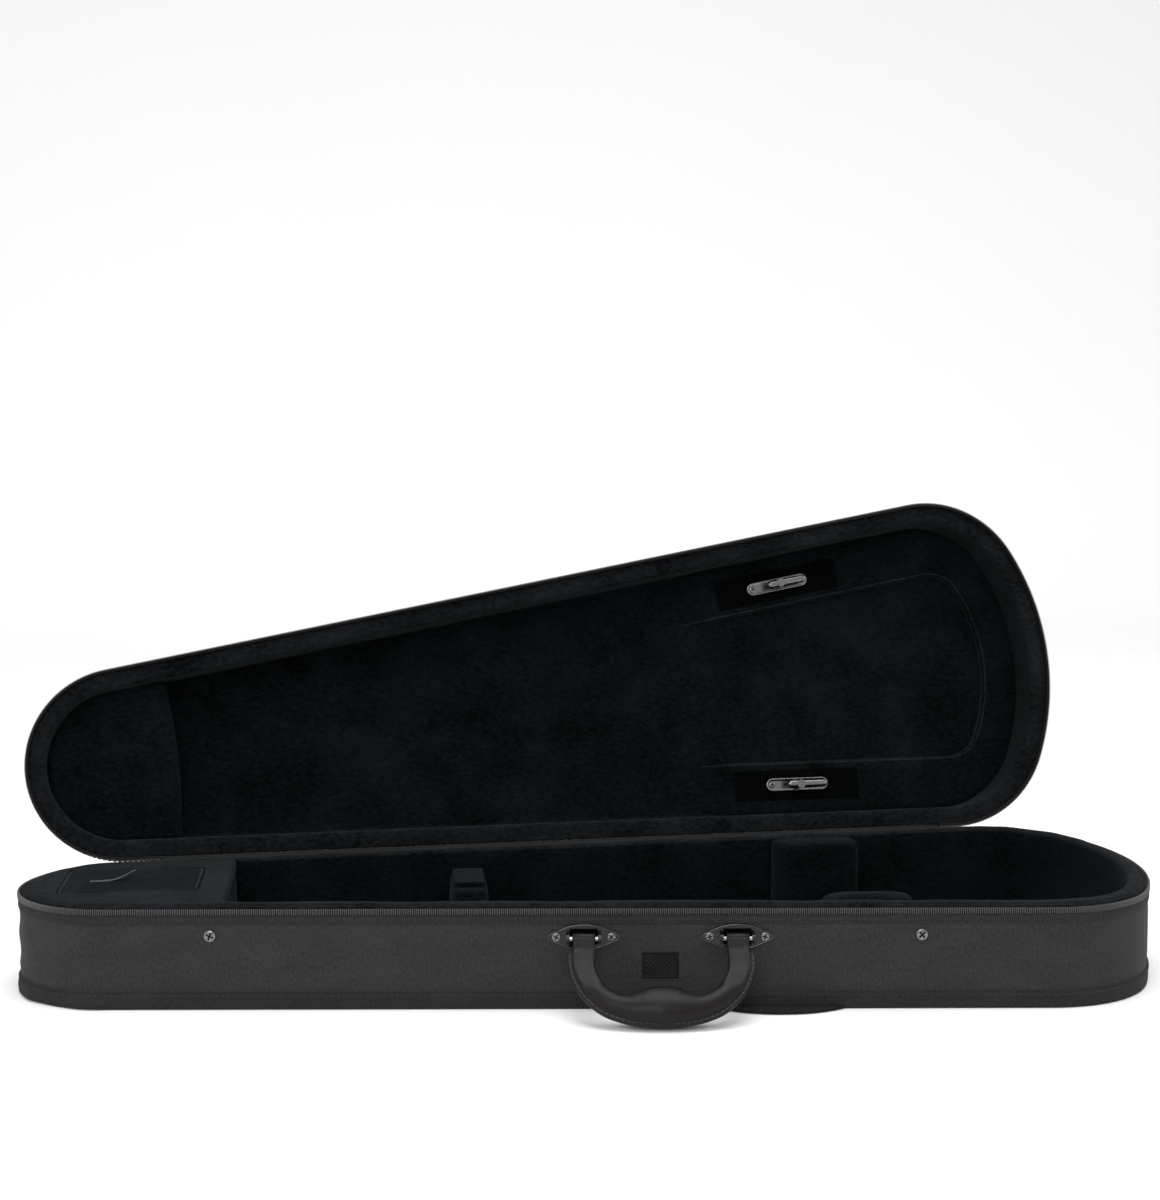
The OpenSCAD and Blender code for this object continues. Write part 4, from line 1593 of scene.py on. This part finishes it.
@dataclass
class LidFittings:
    """The raised band, its piping, the bow-tip pocket and the two turn clips."""

    outline: Outline
    heights: Heights
    finishes: Wardrobe
    tailor: Upholsterer
    turn: Matrix
    band_depth: float = 0.056
    band_x: float = 0.105
    band_t: float = 0.006
    pocket_x: float = -0.285
    patch_t: float = 0.0008
    clip_at: float = 0.514
    clip_low_at: float = 0.508
    clip_in: float = 0.038
    clip_l: float = 0.049

    def build(self) -> None:
        """Builds everything that is fixed inside the lid."""
        self.build_band()
        self.build_pocket()
        f = self.finishes
        for side in ("upper", "lower"):
            piece = self.tailor.copy(f"clip_pile_{side}", f"clip_patch_{side}", 0.4 * MM)
            self.tailor.nap(piece, 0.18 * MM, 0.003, 2)
            wear(piece, f.plush_patch)
            join(piece, "lid", "plush_dark", f"clip_patch_{side}")
            dress_node(f"clip_post_{side}", f.satin, 0.3 * MM)
            self.build_clip(side)

    def build_clip(self, side: str) -> None:
        """Makes a turn clip's rimmed plate, its screws and its rounded lever.

        Args:
            side: upper or lower.
        """
        f, z = self.finishes, self.heights.ceiling_z - self.band_t - self.patch_t

        def place(along: float, across: float, up: float) -> Vector:
            """Finds a point on the clip.

            Args:
                along: the distance along the clip from its middle.
                across: the distance across it.
                up: the distance from its patch.

            Returns:
                The point.
            """
            if side == "upper":
                return self.turn @ self.outline.front(self.clip_at + along, self.clip_in + across, z - up)
            return self.turn @ self.outline.back(self.clip_low_at + along, self.clip_in + across, z - up)

        plate = ((0, 0.0), (0, 0.85), (0.35, 1.2), (1.0, 1.2), (1.5, 0.75), (2.6, 0.7), (4.4, 0.7))
        name, node = f"clip_base_{side}", f"clip_plate_{side}"
        self.capsule(name, place, self.clip_l / 2, 5 * MM, 0.0, plate, f.satin, "lid", node)
        lever = ((0.9, 9.4), (0.1, 9.9), (0, 10.8), (0.3, 11.7), (1.1, 12.4), (2.0, 12.6), (2.6, 12.65))
        body = f"clip_lever_{side}"
        self.capsule(f"clip_arm_{side}", place, 15.5 * MM, 2.9 * MM, 5.5 * MM, lever, f.satin, body, body)
        out = (place(0, 0, 1) - place(0, 0, 0)).normalized()
        seats = [(place(end * 0.020, 0, 0.7 * MM), out) for end in (-1, 1)]
        stands_for = ("clip_screws",) if side == "lower" else ()
        heads = CrossHeadScrew(2.4 * MM, 0.9 * MM, 0.3 * MM).heads(f"clip_screw_heads_{side}", seats, f)
        join(heads, "lid", "chrome", *stands_for)

    def capsule(
        self, name: str, place: Callable[[float, float, float], Vector], half: float, radius: float, shift: float,
        section: Sequence[Row], material: bpy.types.Material, body: str, node: str,
    ) -> None:
        """Makes a round-ended bar, ring by ring from its side to its middle.

        Args:
            name: the piece's name.
            place: gives the point for a distance along, across and up.
            half: half the bar's length.
            radius: half its width.
            shift: how far its middle lies from the clip's.
            section: each ring's inset and height in millimetres.
            material: its material.
            body: the body that it rides on.
            node: the solid that it stands for.
        """
        rows, cloth, around = [], [], 48
        for q in range(around):
            a = 2 * math.pi * (q + 0.5) / around
            line = []
            for inset, up in section:
                r = radius - inset * MM
                end = (half - radius) * (1 if math.cos(a) > 0 else -1)
                line.append(place(shift + end + r * math.cos(a), r * math.sin(a), up * MM))
            rows.append(line)
            cloth.append([(0.002 * q, 0.001 * k) for k in range(len(line))])
        mesh = grid_mesh(name, rows, cloth, (True, False))
        m = len(section)
        close_loops(mesh, range(0, around * m, m), range(m - 1, around * m, m))
        join(add_object(name, mesh, material), body, "clip_metal", node)

    def inner_edge(self, p: Station) -> float:
        """How far in the band's inner edge lies: less across the wide end."""
        return self.band_depth - 12.5 * MM * max(0.0, p.nx) ** 1.5

    def thick(self, p: Station) -> float:
        """The band's thickness, which runs out towards its two ends."""
        return self.band_t * (0.04 + 0.96 * smooth((p.x - self.band_x) / 0.034))

    def build_band(self) -> None:
        """Makes the raised band round the wide end, with piping along its inner edge."""
        back = self.heights.ceiling_z
        stations = [p for p in self.outline.stations(4 * MM) if p.x - p.nx * self.band_depth / 2 > self.band_x]
        first = next(
            i for i, p in enumerate(stations) if stations[i - 1].ny < 0 < p.ny or stations[i - 1].s + 0.1 < p.s
        )
        run = stations[first:] + stations[:first]

        def section(p: Station) -> list[Row]:
            """Draws the band's soft section, which melts into the back at both ends.

            Args:
                p: the place on the outline.

            Returns:
                The section's (depth, height) points.
            """
            rounded = max(0.0, p.nx) ** 1.5
            soft = 0.35 * MM * ripple(p.x, p.y, 0, 0.03, 31) * rounded
            depth, t = self.inner_edge(p), self.thick(p)
            rows = [(15.0 * MM, back + 0.5 * MM), (15.2 * MM, back - t + 1.5 * MM), (16.5 * MM, back - t + 0.2 * MM)]
            for k in range(1, 8):
                share = k / 8
                puff = 0.9 * MM * math.sin(math.pi * share) * rounded
                rows.append((16.5 * MM + (depth - 19.5 * MM) * share, back - t - puff - soft))
            rows += [(depth - 3 * MM, back - t - 0.1 * MM), (depth - 1.4 * MM, back - t + 0.8 * MM),
                     (depth - 0.5 * MM, back - t + 2.4 * MM), (depth, back + 0.5 * MM)]
            return rows

        mesh = Sweep(self.outline, self.turn).skin("lid_raised_band", run, section, closed=False, ring=True)
        piece = add_object(mesh.name, mesh, self.finishes.plush)
        join(piece, "lid", "plush", "lid_band")

        def piping(p: Station) -> list[Row]:
            """Draws the round section of the piping.

            Args:
                p: the place on the outline.

            Returns:
                The section's (depth, height) points.
            """
            depth, z, r = self.inner_edge(p) - 2.2 * MM, back - self.thick(p) + 0.2 * MM, 0.6 * MM
            angles = [q * math.pi / 4 for q in range(8)]
            return [(depth + r * math.cos(a), z + r * math.sin(a)) for a in angles]

        # the piping's lighter plush is a painted highlight along the band's inner edge
        mesh = Sweep(self.outline, self.turn).skin("lid_band_piping", run, piping, closed=False, ring=True)
        join(add_object(mesh.name, mesh, self.finishes.piping), "lid", "plush")

    def build_pocket(self) -> None:
        """Makes the pocket for the bow's tip, a flap across the narrow end with a curved edge."""
        low, high = self.heights.zip_z + 18 * MM, self.heights.zip_z + 21 * MM
        tip = self.outline.narrow_x - self.outline.narrow_r + 15.8 * MM
        sides: list[list[list[Vector]]] = [[], []]
        for i in range(41):
            v = -1 + 2 * i / 40
            rows: tuple[list[Vector], list[Vector]] = ([], [])
            for k in range(25):
                t = k / 24
                edge = self.pocket_x + 4 * MM * (1 - v * v)
                x = tip + (edge - tip) * t
                y = v * self.outline.half_width(x, 15.7 * MM)
                bow = 1.2 * MM * (1 - v * v) * smooth(t) + 0.3 * MM * ripple(x, y, 0, 0.02, 41)
                roll = 1.2 * MM * smooth((t - 0.94) / 0.06)
                rows[0].append(self.turn @ Vector((x, y, low - bow + roll)))
                rows[1].append(self.turn @ Vector((x, y, high - bow * 0.6 - roll)))
            sides[0].append(rows[0])
            sides[1].append(rows[1])
        whole = [a + list(reversed(b)) for a, b in zip(*sides)]
        cloth = [[(0.004 * i, 0.004 * k) for k in range(len(whole[0]))] for i in range(len(whole))]
        mesh = grid_mesh("bow_pocket", whole, cloth, (False, True))
        close_ends(mesh, len(whole), len(whole[0]))
        piece = add_object(mesh.name, mesh, self.finishes.plush)
        join(piece, "lid", "plush", "bow_tip_pocket")


# ---------------------------------------------------------------- the handle and the front


@dataclass
class Handle:
    """The stitched leather handle, drawn hanging down from its pins."""

    outline: Outline
    finishes: Wardrobe
    at: float = 0.365
    pin_z: float = 0.048
    pin_off: float = 0.0046
    plate_gap: float = 0.100
    grip_drop: float = 0.0516
    leg_drop: float = 0.0246
    grip_r: float = 0.0115
    strap_w: float = 0.015
    strap_t: float = 0.004
    welt_top: float = 0.012
    plate_screw: float = 0.018
    plate_l: float = 0.046
    plate_h: float = 0.016

    @property
    def place(self) -> Matrix:
        """Turns the hanging drawing to where the handle lies.

        Returns:
            The matrix from the drawing to the case.
        """
        tilt = math.acos((self.pin_z - self.grip_r - 0.3 * MM) / self.grip_drop)
        a = self.outline.side_along
        about_z = Matrix.Rotation(-math.atan2(a.y, a.x), 4, "Z")
        middle = self.outline.front(self.at, -self.pin_off, self.pin_z)
        return Matrix.Translation(middle) @ about_z @ Matrix.Rotation(-tilt, 4, "X")

    def path(self) -> list[tuple[float, float, float, float]]:
        """The handle's middle line, from the right pin to the left one.

        Returns:
            Points as (x, drop, the line's heading in x, its heading in drop).
        """
        half = self.plate_gap / 2
        knots = [(half, -4), (half, 1), (half, 8), (half + 0.3 * MM, 14), (half + 0.1 * MM, 20), (half - 1.1 * MM, 26),
                 (half - 3.7 * MM, 32.4), (half - 7.9 * MM, 38.8), (half - 13.6 * MM, 44.2), (half - 20.4 * MM, 48.2),
                 (half - 28 * MM, 50.4), (half - 35 * MM, 51.3), (half - 42 * MM, 51.5), (0, 51.6),
                 (half - 58 * MM, 51.5)]
        right: list[tuple[float, float]] = []
        for i in range(1, len(knots) - 2):
            steps = 6
            for k in range(steps):
                right.append(self.through([(x, t * MM) for x, t in knots[i - 1:i + 3]], k / steps))
        line = right + [(0.0, self.grip_drop)] + [(-x, t) for x, t in reversed(right)]
        out = []
        for i, (x, t) in enumerate(line):
            a, b = line[max(0, i - 1)], line[min(len(line) - 1, i + 1)]
            run = math.hypot(b[0] - a[0], b[1] - a[1])
            out.append((x, t, (b[0] - a[0]) / run, (b[1] - a[1]) / run))
        return out

    def sizes(self, x: float, t: float) -> tuple[float, float, float]:
        """The section's half sizes at a place on the middle line.

        Args:
            x: the distance from the handle's middle.
            t: the drop below the pins.

        Returns:
            Half the width in the handle's plane, half the thickness, and the welt's reach.
        """
        bend = smooth((t - 14 * MM) / (36 * MM))
        middle = 0.0
        if t > self.grip_drop - 6 * MM:
            middle = max(0.0, math.cos(math.pi / 2 * min(1.0, abs(x) / 0.029))) ** 1.3
        slim, wide = smooth((t - 10 * MM) / (20 * MM)), smooth((t - 38 * MM) / (13 * MM))
        a = (7.2 - 0.3 * slim + 0.8 * wide + 3.4 * middle) * MM
        b = (self.strap_t / 2 / MM + 5.0 * bend + 3.7 * middle + 1.5 * (1 - smooth(t / (9 * MM)))) * MM
        return a, b, (3.2 - 1.6 * middle) * MM * smooth((t - self.welt_top + 2 * MM) / (4 * MM))

    @staticmethod
    def through(knots: Sequence[tuple[float, float]], share: float) -> tuple[float, float]:
        """A point on the smooth curve through four knots, between the middle two.

        Args:
            knots: the four knots.
            share: how far from the second to the third.

        Returns:
            The point.
        """
        found = []
        for a, b, c, d in zip(*knots):
            bow = 2 * a - 5 * b + 4 * c - d
            turn = 3 * b - a - 3 * c + d
            found.append(0.5 * (2 * b + (c - a) * share + bow * share ** 2 + turn * share ** 3))
        return found[0], found[1]

    def outwards(self, x: float, t: float, hx: float, ht: float) -> Vector:
        """The way out of the handle's loop at x and drop t, where its middle line heads for hx and ht."""
        out = Vector((-ht, 0, -hx))
        return out if out.dot(Vector((x, 0, self.leg_drop * 0.6 - t))) > 0 else -out

    def section(self, a: float, b: float, welt: float, kind: float) -> list[Row]:
        """The leather's section: a round body that flattens into the welt.

        Args:
            a: half the body's width.
            b: half its thickness.
            welt: how far the welt reaches past the body.
            kind: 0 for a flat strap, 1 for a round body.

        Returns:
            (outwards in the plane, across the plane) points, once round.
        """
        power = 2.0 + 5.0 * (1 - kind)
        flat = 1.45 * MM
        upper: list[Row] = []
        for k in range(15):
            p = -math.cos(math.pi * k / 15)
            body = b * (1 - abs(p) ** power) ** (1 / power) + 0.35 * MM * math.exp(-(((abs(p) - 0.81) / 0.12) ** 2))
            lift = flat * smooth((p - 0.1) / 0.8)
            upper.append((a * p, math.sqrt(body * body + lift * lift) if welt > 0.3 * MM else body))
        reach = max(welt, 0.05 * MM)
        edge = flat if welt > 0.3 * MM else b * 0.35
        for share, thick in ((0.15, 1.04), (0.4, 1.0), (0.7, 1.0), (0.88, 0.92), (0.97, 0.65), (1.0, 0.25)):
            upper.append((a + reach * share, edge * thick))
        return upper + [(p, -q) for p, q in reversed(upper)]

    def build(self) -> None:
        """Builds the leather, its stitches and the fittings that hold it."""
        rows, cloth, path = [], [], self.path()
        run = 0.0
        for i, (x, t, hx, ht) in enumerate(path):
            a, b, welt = self.sizes(x, t)
            kind = min(1.0, max(0.0, (b - self.strap_t / 2) / (4 * MM))) * smooth((t - 8 * MM) / (6 * MM))
            out = self.outwards(x, t, hx, ht)
            middle = Vector((x, 0, -t))
            line, here = [], []
            for k, (p, q) in enumerate(self.section(a, b, welt, kind)):
                p = p * (1 + 0.41 * smooth((a / MM - 8) / 3)) if p < 0 else p
                soft = 0.12 * MM * ripple(x, q, t, 0.006, 51)
                line.append(self.place @ (middle + out * p + Vector((0, -(q + (soft if q > 0 else -soft)), 0))))
                here.append((run, 0.0012 * k))
            rows.append(line)
            cloth.append(here)
            if i + 1 < len(path):
                run += math.hypot(path[i + 1][0] - x, path[i + 1][1] - t)
        mesh = grid_mesh("handle_leather", rows, cloth, (False, True))
        across = len(rows[0])
        close_ends(mesh, len(rows), across)
        f = self.finishes
        piece = add_object(mesh.name, mesh, f.leather, f.leather_edge)
        # the welt's outer edge takes the lighter edge leather, partly a painted highlight
        for face in mesh.polygons[: (len(rows) - 1) * across]:
            if 18 <= face.index % across <= 22:
                face.material_index = 1
        join(piece, "handle", "leather", "handle_strap_left", "handle_strap_right", "handle_grip", "handle_welt")
        self.build_eyes()
        self.build_stitches()
        for side in ("left", "right"):
            dress_node(f"handle_plate_{side}", f.dark_metal, 0.3 * MM)
            self.build_pocket(side)
            self.build_rim(side)
        dress_node("handle_pins", f.chrome, 0.2 * MM)
        seats = []
        for plate in (-1, 1):
            for end in (-1, 1):
                s = self.at + plate * self.plate_gap / 2 + end * self.plate_screw
                seats.append(self.facing(s, -0.1 * MM, self.pin_z))
        heads = CrossHeadScrew(2.8 * MM).heads("plate_screw_heads", seats, f)
        join(heads, "base", "chrome", "handle_screws")

    def facing(self, s: float, depth: float, z: float) -> tuple[Vector, Vector]:
        """A point on the front side and the way out of it there."""
        a = self.outline.side_along
        return self.outline.front(s, depth, z), Vector((-a.y, -a.x, 0))

    def build_eyes(self) -> None:
        """Makes the leather loops round the pins."""
        section = (
            (-1, 1.7), (-1, 3.2), (-0.93, 3.6), (0.93, 3.6), (1, 3.2), (1, 1.7), (0.9, 1.57), (-0.9, 1.57)
        )
        for name, x in (("left", -self.plate_gap / 2), ("right", self.plate_gap / 2)):
            rows, cloth = [], []
            for i in range(33):
                a = 2 * math.pi * i / 32
                line, here = [], []
                for u, r in section:
                    y, z = r * MM * math.sin(a), r * MM * math.cos(a)
                    line.append(self.place @ Vector((x + u * self.strap_w / 2, y, z)))
                    here.append((0.0007 * i, 0.002 * len(here)))
                rows.append(line)
                cloth.append(here)
            mesh = grid_mesh(f"strap_loop_{name}", rows[:-1], cloth[:-1], (True, True))
            face_outwards(mesh)
            join(add_object(mesh.name, mesh, self.finishes.leather), "handle", "leather")

    def build_stitches(self) -> None:
        """Sews the welt on both faces."""
        paths = []
        for face in (-1, 1):
            path = []
            for x, t, hx, ht in self.path():
                if t < self.welt_top + 2 * MM:
                    continue
                a, _, welt = self.sizes(x, t)
                out = self.outwards(x, t, hx, ht)
                p = Vector((x, 0, -t)) + out * (a + welt - 1.7 * MM) + Vector((0, face * 1.5 * MM, 0))
                path.append((self.place @ p, self.place.to_3x3() @ Vector((0, face, 0))))
            paths.append(path)
        mesh = Seam(2.7 * MM, 1.1 * MM, 0.32 * MM).sew("handle_stitches", paths)
        join(add_object(mesh.name, mesh, self.finishes.thread_leather), "handle", "leather")

    def build_pocket(self, side: str) -> None:
        """Makes a near-black dish behind a plate's window, painted shade for the deep pocket there.

        Args:
            side: left or right.
        """
        s = self.at + (-1 if side == "left" else 1) * self.plate_gap / 2
        rows, cloth = [], []
        for i in range(15):
            u = -1 + 2 * i / 14
            line, here = [], []
            for k in range(11):
                v = -1 + 2 * k / 10
                dish = 0.5 * MM * (1 - u * u) * (1 - v * v)
                line.append(self.outline.front(s + u * 9.8 * MM, 0.75 * MM + dish, self.pin_z + (0.3 + 5.9 * v) * MM))
                here.append((u * 0.0098, v * 0.0059))
            rows.append(line)
            cloth.append(here)
        mesh = grid_mesh(f"plate_pocket_{side}", rows, cloth)
        # the dish's near-black finish is painted shade
        join(add_object(mesh.name, mesh, self.finishes.pocket), "base", "plate_metal")

    def build_rim(self, side: str) -> None:
        """Makes the rolled edge of a plate: two shallow arcs that meet round the screws, in a lighter metal that is a
        painted highlight.

        Args:
            side: left or right.
        """
        s = self.at + (-1 if side == "left" else 1) * self.plate_gap / 2
        long, tall = self.plate_l / 2, self.plate_h / 2
        lens = (long * long + tall * tall) / (2 * tall)
        half = math.asin(long * 0.86 / lens)
        path: list[tuple[float, float]] = []
        for sign in (1, -1):
            for k in range(33):
                a = (half - 2 * half * k / 32) * sign
                path.append((lens * math.sin(a), sign * (lens * math.cos(a) - lens + tall)))
            turn = path[-1]
            for k in range(1, 8):
                a = math.pi * k / 8
                path.append((turn[0] - sign * 3.4 * MM * math.sin(a), turn[1] * math.cos(a)))
        rows, cloth = [], []
        for i, (x, z) in enumerate(path):
            ahead = (Vector(path[(i + 1) % len(path)]) - Vector(path[i - 1])).normalized()
            line = []
            for q in range(8):
                a = math.pi * q / 4
                wide = math.cos(a) * 0.45 * MM
                depth = -0.15 * MM - 0.4 * MM * math.sin(a)
                line.append(self.outline.front(s + x - ahead.y * wide, depth, self.pin_z + z + ahead.x * wide))
            rows.append(line)
            cloth.append([(0.001 * i, 0.0003 * q) for q in range(8)])
        mesh = grid_mesh(f"plate_rim_{side}", rows, cloth, (True, True))
        # the rim's lighter metal is a painted highlight on the plate's edge
        join(add_object(mesh.name, mesh, self.finishes.rim_highlight_metal), "base", "plate_metal")


@dataclass
class FrontFittings:
    """The embossed patch, the wall screws, the strap's end and the zip's sliders."""

    outline: Outline
    finishes: Wardrobe
    at: float = 0.365
    patch_w: float = 0.0244
    patch_h: float = 0.0186
    patch_z: float = 0.029

    def build(self) -> None:
        """Builds the small fittings on the walls."""
        f = self.finishes
        self.build_patch()
        self.build_strap_end()
        a = self.outline.side_along
        seats = [(self.outline.front(s, 1.1 * MM, 0.049), Vector((-a.y, -a.x, 0))) for s in
                 (0.071, self.outline.side_l - 0.0865)]
        heads = CrossHeadScrew(3.9 * MM, 1.7 * MM, 0.5 * MM).heads("wall_screw_heads", seats, f)
        join(heads, "base", "chrome", "wall_screws")
        for side in ("left", "right"):
            dress_node(f"zip_slider_{side}", f.zip_metal, 0.5 * MM)
            dress_node(f"zip_pull_{side}", f.zip_metal, 0.4 * MM)

    def build_patch(self) -> None:
        """Makes the rubber patch, with a raised border and a plain lattice."""
        n, m = 60, 46
        rows, cloth = [], []
        for i in range(n + 1):
            u = -1 + 2 * i / n
            line, here = [], []
            for k in range(m + 1):
                v = -1 + 2 * k / m
                x, z = u * self.patch_w / 2, v * self.patch_h / 2
                rim = min(self.patch_w / 2 - abs(x), self.patch_h / 2 - abs(z))
                lattice = abs(math.sin((x + z) / MM * 1.05)) * abs(math.sin((x - z) / MM * 1.05))
                inner = 0.30 + 0.28 * smooth(lattice * 1.8)
                border = 0.75 * smooth(rim / (0.5 * MM)) * smooth((1.9 * MM - rim) / (0.4 * MM) + 0.3)
                tall = inner if rim > 1.7 * MM else border
                here.append((x, z))
                line.append(self.outline.front(self.at + x, (1.35 - max(0.0, tall)) * MM, self.patch_z + z))
            rows.append(line)
            cloth.append(here)
        mesh = grid_mesh("embossed_patch", rows, cloth)
        join(add_object(mesh.name, mesh, self.finishes.rubber), "base", "patch", "front_patch")

    def build_strap_end(self) -> None:
        """Makes the webbing whose bend lies in front of the bottom seam."""
        low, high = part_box("strap_end")
        centre = Vector(((low.x + high.x) / 2, 0, 0))
        a = self.outline.side_along
        s = (centre.x - self.outline.side_start.x) / a.x + 0.6 * MM
        half, bulge = 0.042, 0.0139
        section = (
            (0.0, 0.25), (0.35, 0.2), (0.8, 0.2), (0.96, 0.35), (1.0, 1.0), (0.97, 1.65), (0.85, 1.95),
            (0.5, 2.0), (0.2, 1.95), (0.0, 1.9),
        )
        rows, cloth = [], []
        for i in range(41):
            u = -1 + 2 * i / 40
            out = bulge * (1 - abs(u) ** 2.3) + 0.25 * MM
            line, here = [], []
            for v, z in section:
                lift = 0.25 * ripple(u * 0.05, v * 0.02, 0, 0.012, 61)
                line.append(self.outline.front(s + u * half, -out * v - 0.05 * MM, (z + (lift if z > 1.2 else 0)) * MM))
                here.append((u * half, 0.003 * len(here)))
            rows.append(line)
            cloth.append(here)
        mesh = grid_mesh("webbing_end", rows, cloth, (False, True))
        close_ends(mesh, len(rows), len(rows[0]))
        piece = add_object(mesh.name, mesh, self.finishes.webbing)
        join(piece, "base", "webbing", "strap_end")


# ---------------------------------------------------------------- the studio


@dataclass
class Studio:
    """A plain pale floor, soft lights and the camera."""

    floor: float = 0.86
    eye: tuple[float, float, float] = (-0.1368, -1.4713, 0.4135)
    yaw: float = 5.09
    pitch: float = -5.99
    roll: float = -0.16
    lens: float = 64.9

    def build(self) -> None:
        """Sets up the studio."""
        self.build_floor()
        self.build_lights()
        self.build_camera()
        bpy.context.scene.view_settings.view_transform = "Standard"

    def build_floor(self) -> None:
        """Lays the floor, which curves up far behind into a backdrop."""
        rows, cloth = [], []
        for i in range(41):
            x = -6 + 12 * i / 40
            line, here = [], []
            for k in range(41):
                y = -3 + 7.5 * k / 40
                rise = max(0.0, y - 1.8)
                line.append(Vector((x, y, -0.0004 + rise * rise * 0.9)))
                here.append((x, y))
            rows.append(line)
            cloth.append(here)
        mesh = grid_mesh("studio_floor", rows, cloth)
        s = Surface("pale_floor")
        s.tint((self.floor * 0.985,) * 3, (self.floor,) * 3, s.noise(3))
        s.roughen(s.noise(20), 0.6, 0.75)
        s.settle(Specular_IOR_Level=0.15)
        add_object(mesh.name, mesh, s.material)

    def build_lights(self) -> None:
        """Hangs a broad lamp overhead, one in front and one at each side, in a pale room."""
        world = bpy.data.worlds.new("room")
        world.use_nodes = True
        world.node_tree.nodes["Background"].inputs["Color"].default_value = (1, 1, 1, 1)
        world.node_tree.nodes["Background"].inputs["Strength"].default_value = 0.86
        bpy.context.scene.world = world
        lamps = (("overhead", (0.1, -0.1, 1.9), (0, 0, 0), 1.5, 26), ("front", (-0.7, -2.4, 1.5), (0, 0, 0.1), 1.2, 26),
                 ("left", (-1.9, -0.5, 1.0), (0, 0, 0.1), 1.0, 9), ("right", (2.0, -0.3, 1.1), (0, 0, 0.1), 1.0, 9))
        for name, place, goal, size, power in lamps:
            lamp = bpy.data.lights.new(name, "AREA")
            lamp.size, lamp.energy = size, power
            holder = bpy.data.objects.new(name, lamp)
            holder.location = place
            holder.rotation_euler = (Vector(goal) - Vector(place)).to_track_quat("-Z", "Y").to_euler()
            bpy.context.scene.collection.objects.link(holder)

    def build_camera(self) -> None:
        """Stands the camera a little left of the middle, at eye height for a table."""
        camera = bpy.data.cameras.new("camera")
        camera.lens, camera.sensor_width = self.lens, 36
        camera.clip_start, camera.clip_end = 0.05, 30
        holder = bpy.data.objects.new("camera", camera)
        yaw, pitch = math.radians(self.yaw), math.radians(self.pitch)
        ahead = Vector((math.sin(yaw) * math.cos(pitch), math.cos(yaw) * math.cos(pitch), math.sin(pitch)))
        turn = ahead.to_track_quat("-Z", "Y").to_matrix() @ Matrix.Rotation(math.radians(self.roll), 3, "Z")
        holder.matrix_world = Matrix.Translation(self.eye) @ turn.to_4x4()
        bpy.context.scene.collection.objects.link(holder)
        bpy.context.scene.camera = holder


def main() -> None:
    """Builds the case, sub-assembly by sub-assembly, and the studio round it."""
    logging.basicConfig(level=logging.INFO, format="%(message)s")
    outline, heights, finishes, tailor = Outline(), Heights(), Wardrobe(), Upholsterer()
    stands = Matrix.Rotation(math.radians(-heights.lid_open), 4, outline.side_along)
    axis = outline.back(0, 0, heights.zip_z)
    turn = Matrix.Translation(axis) @ stands @ Matrix.Translation(-axis)
    LOG.info("the lid stands open by %.1f degrees", heights.lid_open)
    Studio().build()
    base = Base(outline, heights, finishes, "base", Matrix.Identity(4))
    base.build()
    Lid(outline, heights, finishes, "lid", turn, 30.0).build()
    HingeCloth(outline, heights, finishes, turn, base.hinge).build()
    WaistPads(finishes, tailor).build()
    NeckRest(finishes, tailor).build()
    AccessoryBox(finishes, tailor).build()
    LidFittings(outline, heights, finishes, tailor, turn).build()
    Handle(outline, finishes).build()
    FrontFittings(outline, finishes).build()


if __name__ == "__main__":
    main()
